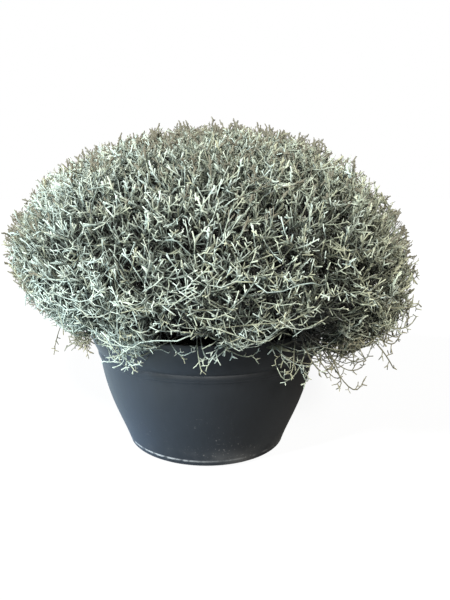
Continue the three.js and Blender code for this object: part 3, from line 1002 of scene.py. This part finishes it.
def sprout(parents, along, swing, length, rise, flat=0.4, side=0, outlined=True):
    """One new stem on each parent: its place, its swing away in degrees and its length.

    The rise says how much it turns towards the light, and flat how closely it keeps to the
    cushion's surface. Side 1 or -1 lays it to one side of its parent, 0 to either.
    """
    count = len(parents.points)
    at = np.clip(along + PLACE_STRAY * chance.normal(size=(count, 1)), 0, 1)
    starts = parents.place(at)[:, 0]
    ahead = parents.heading(at)[:, 0]
    out = unit(starts - HEART) * (side or chance.choice((-1, 1), (count, 1)))
    aside = unit(np.cross(ahead, out + ASIDE_STRAY * chance.normal(size=ahead.shape)))
    swing = np.radians(swing * (1 + SWING_SPREAD * chance.normal(size=(count, 1))))
    leave = ahead * np.cos(swing) + aside * np.sin(swing)
    low = lowness(unit(starts - HEART))
    leave = along_surface(leave, starts, flat)
    settle = unit(leave + rise * growth_heading(unit(starts - HEART)))
    settle = along_surface(settle, starts, flat * low)
    size = length * np.clip(1 + LENGTH_SPREAD * chance.normal(size=(count, 1)), *LENGTH_LIMITS)
    ends = starts + unit(leave + settle) * size
    run = length * np.ones((count, 1))
    if outlined:
        ends = drawn_back(ends, parents)
        run = np.linalg.norm(ends - starts, axis=1, keepdims=True)
    lead = starts + leave * run * START_BEND
    trail = ends - settle * run * START_BEND
    wiggle = SPROUT_WIGGLE * run * chance.normal(size=ends.shape)
    made = Stems(np.stack([starts, lead, trail, ends], 1), wiggle, parents.spray)
    return off_the_rim(made) if outlined else made


def joined(*sets):
    """Several sets of stems as one."""
    parts = ("points", "wiggle", "spray")
    return Stems(*(np.concatenate([getattr(one, part) for one in sets]) for part in parts))


# %% Sweeping stems
SWEEPS = 950
SWEEP_SPAN = (0.3, 0.6)
SWEEP_FROM, SWEEP_TO = 0.36, -0.34
SWEEP_LEAST = 0.15
SWEEP_SLOPE, SWEEP_LIFT = (-0.3, 1.3), (0.2, 1.3)
SWEEP_OUT, SWEEP_END = (0.88, 0.97), (0.93, 1.0)
SWEEP_BEND, SWEEP_WIGGLE = 0.45, 0.02


def sweep_along(parents, count):
    """Long stems low on the cushion, which come out and run along it, sagging, to a raised tip."""
    turn = chance.uniform(0, 2 * math.pi, count)
    level = chance.uniform(SWEEP_TO, SWEEP_FROM, count)
    flat = np.sqrt(1 - level**2)
    ways = np.stack([flat * np.cos(turn), flat * np.sin(turn), level], 1)
    kept = SWEEP_LEAST + (1 - SWEEP_LEAST) * openness(ways)[:, 0]
    ways = ways[chance.uniform(size=count) < kept]
    shape = (len(ways), 1)
    aside = unit(np.cross(UP, ways)) * chance.choice((-1, 1), shape)
    span = chance.uniform(*SWEEP_SPAN, shape)
    slope = chance.uniform(*SWEEP_SLOPE, shape)
    before = unit(ways - (aside * np.cos(slope) - UP * np.sin(slope)) * span)
    out = HEART + before * reach(before)[:, None] * chance.uniform(*SWEEP_OUT, shape)
    ends = HEART + ways * reach(ways)[:, None] * chance.uniform(*SWEEP_END, shape)
    spray = spray_of(unit(0.5 * (before + ways)))
    apart = np.linalg.norm(out[:, None] - parents.points[None, :, 3], axis=2)
    starts = parents.points[np.argmin(apart, axis=1), 3]
    run = np.linalg.norm(ends - out, axis=1, keepdims=True)
    settle = unit(aside + UP * chance.uniform(*SWEEP_LIFT, shape) + 0.2 * ways)
    trail = ends - settle * run * SWEEP_BEND
    points = np.stack([starts, out + 0.5 * (out - starts), trail, ends], 1)
    return Stems(points, SWEEP_WIGGLE * run * chance.normal(size=ends.shape), spray)


# %% Fronds on the sprigs, twiglets on the strands
SIDE_TWIG_LENGTH = 9 * MM
DENSE_UNDER, DOME_UNDER = 0.3, 0.7
STRAND_TWIGLET = 9 * MM
# Part of the way along the sprig, swing in degrees, length, rise, flatness and side.
HIGH_FRONDS = (
    (0.45, 50, FROND_LENGTH, 0.75, 0.5, 1),
    (0.68, 48, FROND_LENGTH, 0.75, 0.5, -1),
    (0.88, 42, 0.85 * FROND_LENGTH, 0.9, 0.5, 1),
)
LOW_FRONDS = (
    (0.4, 48, 1.3 * FROND_LENGTH, 0.6, 0.8, 1),
    (0.62, 50, 1.3 * FROND_LENGTH, 0.6, 0.8, -1),
    (0.84, 46, 1.1 * FROND_LENGTH, 0.6, 0.8, 1),
    (1.0, 8, FROND_LENGTH, 0.6, 0.6, 0),
)
# Part of the way along the strand, swing in degrees and side.
STRAND_ENDS = ((0.58, 52, 1), (0.72, 50, -1), (0.86, 50, 1), (1.0, 10, 0))
LOW_TWIGS = (0.6, 0.76, 0.9)
DENSE_TWIGS = (0.5, 0.8)
SWEEP_TWIGS = (0.34, 0.42, 0.5, 0.58, 0.66, 0.74, 0.82, 0.9, 0.97)


def on_dome(stems, dome=True):
    """Only the stems whose tips are well above the skirt, or only the others."""
    high = lowness(unit(stems.points[:, 3] - HEART))[:, 0] < DOME_UNDER
    return stems.take(high == dome)


def side_twigs(parents, places):
    """Short twigs on both sides of each parent by turns, like the bones of a fish."""
    return [
        sprout(parents, along, 54, SIDE_TWIG_LENGTH, 0.4, 0.5, 1 - 2 * (index % 2))
        for index, along in enumerate(places)
    ]


strands = hang_strands(branches)
sprigs = off_the_rim(sprigs)
sweeps = off_the_rim(sweep_along(branches, SWEEPS))
high, low = on_dome(sprigs), on_dome(sprigs, False)
shoots = joined(
    sprout(high.take(slice(None, None, 2)), 0.25, 50, FROND_LENGTH, 0.75, 0.5, -1),
    *(sprout(high, *values) for values in HIGH_FRONDS),
    *(sprout(low, *values) for values in LOW_FRONDS),
)
shoots = thinned(shoots, LEFT_OUT)
tips = joined(
    sprout(high, 1.0, 10, BUD_LENGTH, 1.2, 0.2),
    sprout(leaders, 1.0, 5, LEADER_BUD, 0.8, 0, 0, False),
)
sprigs = joined(sprigs, leaders)
dense = high.take(openness(unit(high.points[:, 3] - HEART))[:, 0] < DENSE_UNDER)
twigs = joined(
    *side_twigs(low, LOW_TWIGS),
    *side_twigs(dense, DENSE_TWIGS),
    *side_twigs(sweeps, SWEEP_TWIGS),
)
strand_ends = joined(
    *(
        sprout(strands, along, swing, STRAND_TWIGLET, 0.3, 0.6, side, False)
        for along, swing, side in STRAND_ENDS
    ),
    sprout(sweeps, 1.0, 10, TWIGLET_LENGTH, 0.3, 0.6, 0, False),
    sprout(sweeps, 0.7, 50, TWIGLET_LENGTH, 0.3, 0.6, 0, False),
)
for label, stems in (("sprigs", sprigs), ("fronds", shoots), ("tips", tips), ("side twigs", twigs)):
    print(len(stems.points), label)
print(len(sweeps.points), "sweeping stems")


# %% [markdown]
# ## Bending copies of a model along the stems
#
# A copy keeps the model's own faces. Each corner's height says how far along the stem it goes,
# and its sideways place is kept as it is, across the stem. So one straight frond becomes
# thousands of curved ones. The same step gives each corner its place in the palette: the deeper
# it lies in the cushion, the older and barer its wood and the darker its painted shade, and where
# the plant is open the felt starts, and the painted shade ends, a little further out.

# %% Bent copies
# The palette's v is freshness and painted shade together: it falls with depth in the cushion, down
# to this oldest and darkest share.
OLDEST_AND_DARKEST = 0.2
FRESH_AND_LIT_FROM, FRESH_AND_LIT_DEPTH = 0.79, 0.2
FRESH_AND_LIT_LATER = 0.09
TONE_SHARE, SIDE_SHARE = 0.94, 0.05


def freshness_and_depth_shade(places):
    """1 at the outline and less further in, where old wood has lost its felt and painted shade
    darkens it.
    """
    away = places.reshape(-1, 3) - HEART
    far = np.linalg.norm(away, axis=1)
    depth = far / reach(away / far[:, None])
    low = FRESH_AND_LIT_LATER * openness(away / far[:, None])[:, 0]
    fresh_and_lit = np.clip((depth - FRESH_AND_LIT_FROM - low) / (FRESH_AND_LIT_DEPTH - low), 0, 1)
    fresh_and_lit = fresh_and_lit.reshape(places.shape[:-1])
    return OLDEST_AND_DARKEST + (1 - OLDEST_AND_DARKEST) * fresh_and_lit


class Bunch:
    """Collects corners, faces and palette places of many copies, and makes one mesh of them."""

    def __init__(self):
        self.corners, self.loops, self.starts, self.palette = [], [], [], []
        self.corner_count = self.loop_count = 0

    def add(self, model, stems, girth, tone, at_root, at_tip):
        """Copies of a model along stems: thickness and tone of each, freshness and painted shade at
        root and tip.
        """
        count = len(stems.points)
        if not count:
            return
        x, y, z = model.corners.T
        along = np.broadcast_to(z / model.height, (count, len(z)))
        inside = np.clip(along, 0, 1)
        middle = stems.place(inside)
        ahead = stems.heading(inside)
        beyond = (along - inside)[..., None] * stems.length()[:, None, None]
        chord = unit(stems.points[:, 3] - stems.points[:, 0])
        across = unit(np.cross(chord, chance.normal(size=chord.shape)))[:, None]
        across = unit(across - (across * ahead).sum(-1, keepdims=True) * ahead)
        third = np.cross(ahead, across)
        girth = np.broadcast_to(girth, (count,))[:, None, None]
        shift = (across * x[None, :, None] + third * y[None, :, None]) * girth
        corners = clear_of_pot(middle + ahead * beyond + shift)
        self.corners.append(corners.reshape(-1, 3))
        step = self.corner_count + np.arange(count)[:, None] * len(z)
        self.loops.append((model.loops[None] + step).ravel())
        jump = self.loop_count + np.arange(count)[:, None] * len(model.loops)
        self.starts.append((model.starts[None] + jump).ravel())
        fresh_and_lit = (at_root + (at_tip - at_root) * model.fresh_and_lit)[None] * freshness_and_depth_shade(corners)
        side = model.side[model.loops][None]
        u = np.clip(tone[:, None] * TONE_SHARE + SIDE_SHARE * side, 0, 1)
        v = fresh_and_lit[:, model.loops]
        self.palette.append(np.stack([u, v], -1).reshape(-1, 2))
        self.corner_count += count * len(z)
        self.loop_count += count * len(model.loops)

    def piece(self, name, finish):
        """The mesh of all copies as one object."""
        mesh = bpy.data.meshes.new(name)
        corners = np.concatenate(self.corners)
        loops = np.concatenate(self.loops)
        starts = np.concatenate(self.starts)
        mesh.vertices.add(len(corners))
        mesh.vertices.foreach_set("co", corners.ravel())
        mesh.loops.add(len(loops))
        mesh.loops.foreach_set("vertex_index", loops)
        mesh.polygons.add(len(starts))
        mesh.polygons.foreach_set("loop_start", starts)
        mesh.polygons.foreach_set("use_smooth", np.ones(len(starts), bool))
        mesh.update(calc_edges=True)
        layer = mesh.uv_layers.new(name=PALETTE)
        layer.data.foreach_set("uv", np.concatenate(self.palette).ravel())
        mesh.materials.append(finish)
        made = bpy.data.objects.new(name, mesh)
        bpy.context.scene.collection.objects.link(made)
        return made


# %% Spray pieces
# Buds are thick high up, far aside and behind: where that begins, and how far on it is in full.
BUDS_FROM, BUDS_RISE = 270 * MM, 120 * MM
BUDS_ASIDE, BUDS_WIDTH = 140 * MM, 80 * MM
BACK_FROM, BACK_WIDTH = 100 * MM, 110 * MM
# What hangs low at the sides is dry, and some twigs further aside and behind are worn.
DRY_ASIDE, DRY_BELOW = 118 * MM, 174 * MM
WORN_ASIDE, WORN_WIDTH = 185 * MM, 60 * MM
WORN_TONES, WORN_BACK = (0.06, 0.14), 0.4
PLAIN_TONE, TONE_SPREAD = 0.52, 0.22
TONE_LIMITS = (0.12, 0.86)
# Painted light and shade: the tone is bluer on the lit left, and more olive on the shaded right and
# back.
PAINTED_LIGHT_BLUER_LEFT, PAINTED_SHADE_OLIVE_RIGHT, PAINTED_SHADE_OLIVE_BACK = 0.38, 0.12, 0.12
GIRTHS = (0.85, 1.15)
END_FRESH_AND_LIT = (0.84, 1.0)
FINER = 0.12


def sunniness(places):
    """1 at the crown, the sides and the back, where the buds are thick and brown, 0 in front."""
    x, y, z = places.T
    most = np.maximum((z - BUDS_FROM) / BUDS_RISE, (np.abs(x) - BUDS_ASIDE) / BUDS_WIDTH)
    return np.clip(np.maximum(most, (y + BACK_FROM) / BACK_WIDTH), 0, 1)


def tones(stems, budding=0):
    """How blue or olive each stem is: its own draw, with painted light bluer left, painted shade
    olive right and back.

    The two ends of the palette are kept for dry strands and for twigs with brown buds.
    """
    x, y, z = stems.points[:, 3].T
    # Painted light and shade: the tone is bluer to the left and more olive to the right and to the
    # back.
    aside = (PAINTED_LIGHT_BLUER_LEFT * x + PAINTED_SHADE_OLIVE_RIGHT * np.maximum(x, 0)) / WAIST_RADIUS
    aback = np.clip((y + BACK_FROM) / BACK_WIDTH, 0, 1)
    tone = PLAIN_TONE - aside - PAINTED_SHADE_OLIVE_BACK * aback + TONE_SPREAD * chance.normal(size=len(x))
    most = np.maximum((np.abs(x) - WORN_ASIDE) / WORN_WIDTH, WORN_BACK * aback)
    worn = chance.uniform(size=len(x)) < most
    tone = np.where(worn, chance.uniform(*WORN_TONES, len(x)), np.clip(tone, *TONE_LIMITS))
    tone = np.where((np.abs(x) > DRY_ASIDE) & (z < DRY_BELOW), DRY_TONE, tone)
    budded = chance.uniform(size=len(z)) < budding * sunniness(stems.points[:, 3])
    return np.where(budded, BUDDED_TONE, tone)


thick = chance.uniform(size=len(tips.points)) < sunniness(tips.points[:, 3])
thick_tips, thin_tips = tips.take(thick), tips.take(~thick)


def dress_spray(index):
    """Everything that grows in one spray, as one piece."""
    bunch = Bunch()
    # Stems, the model, its girth, and its freshness in the palette at the root and at the tip,
    # which is
    # also its painted shade: a lower value is darker.
    for stems, stick, girth, at_root, at_tip in (
        (boughs, branch_stick, 1.9 * MM, 0.1, 0.4),
        (branches, branch_stick, 1.3 * MM, 0.3, 0.6),
        (thicket, shoot_stick, 0.8 * MM, 0.1, 0.45),
        (sprigs, shoot_stick, 0.7 * MM, 0.72, 0.93),
        (strands, strand_stick, 0.8 * MM, 0.65, 0.92),
        (sweeps, sweep_stick, 0.7 * MM, 0.72, 0.97),
        (twigs, side_stick, 0.6 * MM, 0.84, 1.0),
    ):
        mine = stems.take(stems.spray == index)
        clear = openness(unit(mine.points[:, 3] - HEART))[:, 0]
        size = girth * chance.uniform(*GIRTHS, len(clear)) * (1 - FINER * clear)
        bunch.add(stick, mine, size, tones(mine), at_root, at_tip)
    # Stems to dress, the models to pick from, and the share of brown buds at the crown.
    for ends, models, budding in (
        (shoots, fronds, 0.6),
        (thin_tips, twiglets, 0.6),
        (thick_tips, buds, 1.0),
        (strand_ends, twiglets, 0),
    ):
        mine = ends.take(ends.spray == index)
        kind = chance.integers(0, len(models), len(mine.points))
        for k, model in enumerate(models):
            some = mine.take(kind == k)
            size = chance.uniform(*GIRTHS, len(some.points))
            bunch.add(model, some, size, tones(some, budding), *END_FRESH_AND_LIT)
    made = bunch.piece(f"twigs_{spray_names[index]}", twig_finish)
    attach(made, "root")
    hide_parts(spray_names[index])
    return made


spray_pieces = [dress_spray(index) for index in range(len(spray_names))]
totals = [sum(len(face.vertices) - 2 for face in made.data.polygons) for made in spray_pieces]
print("foliage triangles:", sum(totals), "largest piece:", max(totals))

# %% [markdown]
# ## The pot
#
# A pot like this is one injection-moulded shell. Its outline is drawn as an open line of edges,
# corner by corner, and spun round the upright axis. The bowl's sweep is a smooth curve through a
# few measured places, and the bead, the flared band and the lip have corners of their own. The
# drain notches and holes are then cut out, and every sharp edge gets the small radius that a
# mould gives it.

# %% Pot outline
POT_STEPS = 96
FLOOR_UNDERSIDE = 4 * MM
FLOOR_TOP = 7 * MM
FOOT_INSIDE = 82 * MM
PAD_RADIUS = 17 * MM
EDGE_RADIUS = 0.7 * MM


def bowl_line(levels):
    """The bowl's radius at given heights, on one smooth curve."""
    sweep = np.polyfit(BOWL_LEVELS, BOWL_RADII, 4)
    return [(float(np.polyval(sweep, level)), float(level)) for level in levels]


def outline_in_mm(*points):
    return [(radius * MM, height * MM) for radius, height in points]


outside = [(FOOT_RADIUS, 0.0)]
outside += bowl_line(np.linspace(4, 117, 16) * MM)
outside += outline_in_mm((138, 118.8), (138, 120), (138.9, 121.4), (139.1, 123.6))
outside += outline_in_mm((138.9, 125.8), (138.5, 126.8), (138.9, 127.8), (140.8, 129.6))
outside += outline_in_mm((143.4, 135), (145.8, 141), (147.6, 147))
outside += outline_in_mm((148.9, 153), (149.6, 158), (150, 160.5), (150, 163), (149.4, 164))
inside = outline_in_mm((148, 164), (147.4, 163), (147, 158), (145, 147), (141, 135))
inside += [(radius - WALL, level) for radius, level in bowl_line(np.linspace(112, 24, 9) * MM)]
inside += outline_in_mm((100, 12), (95, 8), (90, 7))
underside = [(0, 0), (PAD_RADIUS, 0), (PAD_RADIUS + MM, FLOOR_UNDERSIDE)]
underside += [(FOOT_INSIDE - MM, FLOOR_UNDERSIDE), (FOOT_INSIDE, 0)]


# %% Spin it
def draw_line(name, points):
    """A line of edges in the XZ plane: one corner, drawn out from point to point."""
    deselect_all()
    bpy.ops.mesh.primitive_plane_add(size=MM, location=(0, 0, 0))
    line = bpy.context.object
    line.name = name
    bpy.ops.object.mode_set(mode="EDIT")
    bpy.ops.mesh.select_mode(type="VERT")
    bpy.ops.mesh.merge(type="CENTER")
    bpy.ops.transform.translate(value=(points[0][0], 0, points[0][1]))
    for (x, z), (next_x, next_z) in zip(points, points[1:]):
        step = (next_x - x, 0, next_z - z)
        bpy.ops.mesh.extrude_vertices_move(TRANSFORM_OT_translate={"value": step})
    return line


def spin_round(piece, steps):
    """Turn an outline in edit mode into a closed body round the Z axis."""
    bpy.ops.mesh.select_all(action="SELECT")
    bpy.ops.mesh.spin(steps=steps, angle=2 * math.pi, center=(0, 0, 0), axis=(0, 0, 1))
    bpy.ops.mesh.select_all(action="SELECT")
    bpy.ops.mesh.remove_doubles(threshold=0.02 * MM)
    bpy.ops.mesh.normals_make_consistent(inside=False)
    bpy.ops.object.mode_set(mode="OBJECT")
    return piece


pot = draw_line("bowl_pot", underside + outside + inside + [(0, FLOOR_TOP)])
pot = spin_round(pot, POT_STEPS)
print("pot faces:", len(pot.data.polygons))

# %% Notches and drain holes
NOTCHES = 6
NOTCH_SIZE = (30 * MM, 12 * MM, 8 * MM)
DRAIN_RADIUS = 6 * MM
DRAIN_RING = 54 * MM


def apply_modifier(piece, kind, **settings):
    """Add a modifier to a piece and apply it at once."""
    deselect_all()
    bpy.context.view_layer.objects.active = piece
    piece.select_set(True)
    modifier = piece.modifiers.new(kind.lower(), kind)
    for name, value in settings.items():
        setattr(modifier, name, value)
    bpy.ops.object.modifier_apply(modifier=modifier.name)


def join_onto(piece, others):
    """Make other objects part of a piece."""
    deselect_all()
    for thing in (*others, piece):
        thing.select_set(True)
    bpy.context.view_layer.objects.active = piece
    bpy.ops.object.join()
    return piece


def add_cutters():
    """The notches' blocks and the drain holes' pins, as one object."""
    parts = []
    for index in range(NOTCHES):
        turn = (index + 0.5) * 2 * math.pi / NOTCHES - math.pi / 2
        out = FOOT_INSIDE + NOTCH_SIZE[0] / 3
        place = (out * math.cos(turn), out * math.sin(turn), 0)
        bpy.ops.mesh.primitive_cube_add(size=1, location=place, rotation=(0, 0, turn))
        bpy.context.object.scale = NOTCH_SIZE
        parts.append(bpy.context.object)
        turn = index * 2 * math.pi / NOTCHES
        place = (DRAIN_RING * math.cos(turn), DRAIN_RING * math.sin(turn), FLOOR_TOP)
        bpy.ops.mesh.primitive_cylinder_add(
            vertices=20, radius=DRAIN_RADIUS, depth=4 * FLOOR_TOP, location=place
        )
        parts.append(bpy.context.object)
    return join_onto(parts.pop(), parts)


cutters = add_cutters()
apply_modifier(pot, "BOOLEAN", object=cutters, operation="DIFFERENCE", solver="EXACT")
bpy.data.objects.remove(cutters)
apply_modifier(
    pot, "BEVEL", width=EDGE_RADIUS, segments=2, limit_method="ANGLE", angle_limit=math.radians(32)
)
pot.select_set(True)
bpy.ops.object.shade_smooth_by_angle(angle=math.radians(35))
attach(pot, "root")
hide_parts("pot")

# %% [markdown]
# ## Pot finish
#
# The plastic is through-dyed anthracite with a satin skin. Close up the mould has left a fine
# grain and faint upright streaks. Its colour is painted lighter and bluer on the left, as painted
# light from the window side, and darker and browner on the right, as painted shade. Watering has
# left a little chalky dust round the foot and pale scuffs low on the bowl, rougher than the clean
# plastic. The foot's edge has a pale rubbed band, painted strongest on the left as a painted
# highlight.

# %% Pot plastic
CHALK, RUBBED_PALE_AND_HIGHLIGHT = (0.16, 0.155, 0.145), (0.36, 0.36, 0.35)
anthracite, shader, place = new_material("anthracite_plastic")
height = place.part("Z")
aside = place.part("X")
cloud = place.noise(26.0, 5.0)
streak = place.stretched(1.0, 1.0, 0.06).noise(240.0, 3.0)
grain = place.noise(2600.0, 2.0)
speck = place.noise(420.0, 3.0)
foot = 1 - height.between(2 * MM, 34 * MM)
lower = 1 - height.between(0, 100 * MM)
dust = foot * cloud.between(0.42, 0.7) * 0.35
scuff = speck.between(0.64, 0.71) * cloud.between(0.46, 0.58) * lower * 0.9
tone_and_painted_side_light = (streak * 0.6 + cloud * 0.4).ramp(
    (0.3, (0.0068, 0.0086, 0.0116)), (0.7, (0.0102, 0.0126, 0.0166))
)
# Painted side light: lighter and bluer on the left, towards the light, and darker and browner on
# the right, as painted shade.
painted_side_light = (aside + 0.5).ramp(
    (0.36, (1.7, 2.4, 3.4)), (0.45, (0.86, 0.88, 0.9)), (0.64, (0.52, 0.44, 0.3))
)
tone_and_painted_side_light = tone_and_painted_side_light.blend(painted_side_light, 1.0, "MULTIPLY")
rub = height.between(8.5 * MM, 9.3 * MM) * (1 - height.between(10.8 * MM, 11.8 * MM))
# The pale rubbed band is faint all round and strongest on the left, as a painted highlight where
# the light falls.
painted_highlight_side = 1 - aside.between(-60 * MM, 20 * MM) * 0.8
rubbed_edge_highlight = rub * painted_highlight_side * place.noise(130.0, 8.0).between(0.36, 0.6)
worn = dust + scuff
colour = tone_and_painted_side_light.blend(CHALK, worn).blend(RUBBED_PALE_AND_HIGHLIGHT, rubbed_edge_highlight)
rough = 0.47 + cloud * 0.1 + worn * 0.3
surface = (grain * 0.5 + streak * 0.5 + worn).bump(0.12, 0.6 * MM)
feed(shader, Base_Color=colour, Roughness=rough, Normal=surface)
pot.data.materials.clear()
pot.data.materials.append(anthracite)

# %% [markdown]
# ## Woody base
#
# Under the silver, one brown knuckle of old wood stands in the soil and a bare limb leaves it for
# each spray. The limbs are bent copies of one stick, and the boughs start on their outer ends. The
# knuckle is a ball, drawn long and narrow towards the soil and ridged like old bark.

# %% Bark
bark, shader, place = new_material("bark")
fibres = place.stretched(1.0, 1.0, 0.35).noise(420.0, 6.0)
patches = place.noise(90.0, 3.0)
colour = (fibres * 0.7 + patches * 0.3).ramp(
    (0.3, (0.03, 0.021, 0.014)), (0.5, (0.085, 0.064, 0.045)), (0.7, (0.17, 0.145, 0.115))
)
feed(shader, Base_Color=colour, Roughness=0.9, Normal=fibres.bump(0.9, 1.2 * MM))

# %% Knuckle and limbs
KNUCKLE_RADIUS = 17 * MM
KNUCKLE_STRETCH = 1.1
KNUCKLE_NARROWER = 0.25
KNUCKLE_LUMPS, LUMP_SCALE = 0.1, 160
RIDGE_DEPTH, RIDGES, RIDGE_TWIST = 0.06, 9, 60
LIMB_GIRTH = 3.4 * MM


def model_knuckle():
    """The root crown: a ball drawn down into the soil and made lumpy."""
    deselect_all()
    bpy.ops.mesh.primitive_ico_sphere_add(subdivisions=4, radius=KNUCKLE_RADIUS)
    knuckle = bpy.context.object
    for corner in knuckle.data.vertices:
        x, y, z = corner.co
        under = max(0.0, -z / KNUCKLE_RADIUS)
        lumps = KNUCKLE_LUMPS * noise.noise(corner.co * LUMP_SCALE)
        ridges = RIDGE_DEPTH * math.sin(RIDGES * math.atan2(y, x) + RIDGE_TWIST * z)
        side = (1 + lumps + ridges) * (1 - KNUCKLE_NARROWER * under)
        corner.co = (x * side, y * side, z * (1 + KNUCKLE_STRETCH * under) + HEART[2])
    bpy.ops.object.shade_smooth()
    knuckle.data.materials.append(bark)
    return knuckle


wood = Bunch()
# Bark takes nothing from the palette, so any tone and freshness will do.
wood.add(limb_stick, limbs, LIMB_GIRTH, np.full(len(limbs.points), 0.5), 0.0, 0.1)
root_crown = join_onto(wood.piece("root_crown", bark), [model_knuckle()])
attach(root_crown, "root")
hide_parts("woody_base")
print("woody base faces:", len(root_crown.data.polygons))

# %% [markdown]
# ## Potting soil
#
# Soil is crumbs of all sizes, so its top is a fine disc that is lifted here and lowered there in
# lumps of two sizes. Loose crumbs lie on it: one lumpy crumb, copied some hundreds of times, each
# turned and sized its own way. The sides only have to fill the pot.

# %% Soil finish
compost, shader, place = new_material("damp_compost")
clods = place.noise(150.0, 6.0)
flecks = place.noise(900.0, 2.0)
colour = (clods * 0.6 + flecks * 0.4).ramp(
    (0.36, (0.008, 0.0055, 0.004)), (0.52, (0.026, 0.018, 0.012)), (0.66, (0.075, 0.055, 0.036))
)
feed(shader, Base_Color=colour, Roughness=0.95, Normal=(clods + flecks).bump(0.8, 1.0 * MM))

# %% Soil bed
SOIL_EDGE = 146 * MM
SOIL_BOTTOM = 7.4 * MM
SOIL_RINGS, SOIL_STEPS = 24, 90
SOIL_PLAY = 1.0 * MM
LUMP_HEIGHT = 1.7 * MM
BIG_LUMPS, SMALL_LUMPS = 170, 520
soil_radius = float(pot_radius(SOIL_EDGE)) - WALL - SOIL_PLAY


def soil_height(x, y):
    """The soil's top: a low crown with lumps of two sizes."""
    part = min(1.0, math.hypot(x, y) / soil_radius)
    lumps = noise.noise(Vector((x, y, 0)) * BIG_LUMPS)
    lumps += 0.5 * noise.noise(Vector((x, y, 1)) * SMALL_LUMPS)
    fade = min(1.0, 8 * (1 - part))
    return SOIL_TOP - (SOIL_TOP - SOIL_EDGE) * part**3 + LUMP_HEIGHT * lumps * fade


top = [(soil_radius * part, SOIL_EDGE) for part in np.linspace(1 / SOIL_RINGS, 1, SOIL_RINGS)]
walls = [(float(pot_radius(level)) - WALL - SOIL_PLAY, level) for level in BOWL_LEVELS[:1:-1]]
foot = [(92 * MM, 9 * MM), (88 * MM, SOIL_BOTTOM), (0, SOIL_BOTTOM)]
soil = spin_round(draw_line("soil_bed", [(0, SOIL_EDGE)] + top + walls + foot), SOIL_STEPS)
for corner in soil.data.vertices:
    if corner.co.z > SOIL_EDGE - 0.01 * MM:
        corner.co.z = soil_height(corner.co.x, corner.co.y)

# %% Loose crumbs
CRUMBS = 420
CRUMB_SIZES = (0.8 * MM, 2.6 * MM)
CRUMB_MARGIN = 4 * MM
CRUMB_RELIEF, CRUMB_RAISED = 0.3, 0.3


def model_crumb():
    """One lumpy crumb, one unit in radius."""
    deselect_all()
    bpy.ops.mesh.primitive_ico_sphere_add(subdivisions=1, radius=1.0)
    crumb = bpy.context.object
    for index, corner in enumerate(crumb.data.vertices):
        corner.co *= 1 + CRUMB_RELIEF * sway(index, 31)
    return crumb


def scatter_crumbs(crumb, count):
    """Copies of a crumb, strewn over the soil as one mesh."""
    shape = np.array([corner.co for corner in crumb.data.vertices])
    sides = np.array([face.vertices for face in crumb.data.polygons])
    corners, faces = [], []
    for index in range(count):
        out = (soil_radius - CRUMB_MARGIN) * math.sqrt(chance.uniform())
        turn = chance.uniform(0, 2 * math.pi)
        x, y = out * math.cos(turn), out * math.sin(turn)
        size = chance.uniform(*CRUMB_SIZES)
        turned = np.array(Euler(chance.uniform(0, 6, 3)).to_matrix())
        faces.append(sides + index * len(shape))
        z = soil_height(x, y) + CRUMB_RAISED * size
        corners.append(shape @ turned.T * size + (x, y, z))
    strewn = bpy.data.meshes.new("crumbs")
    strewn.from_pydata(np.concatenate(corners).tolist(), [], np.concatenate(faces).tolist())
    bpy.data.objects.remove(crumb)
    made = bpy.data.objects.new("crumbs", strewn)
    bpy.context.scene.collection.objects.link(made)
    return made


join_onto(soil, [scatter_crumbs(model_crumb(), CRUMBS)])
bpy.ops.object.shade_smooth_by_angle(angle=math.radians(50))
soil.data.materials.clear()
soil.data.materials.append(compost)
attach(soil, "root")
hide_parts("soil")
print("soil faces:", len(soil.data.polygons))
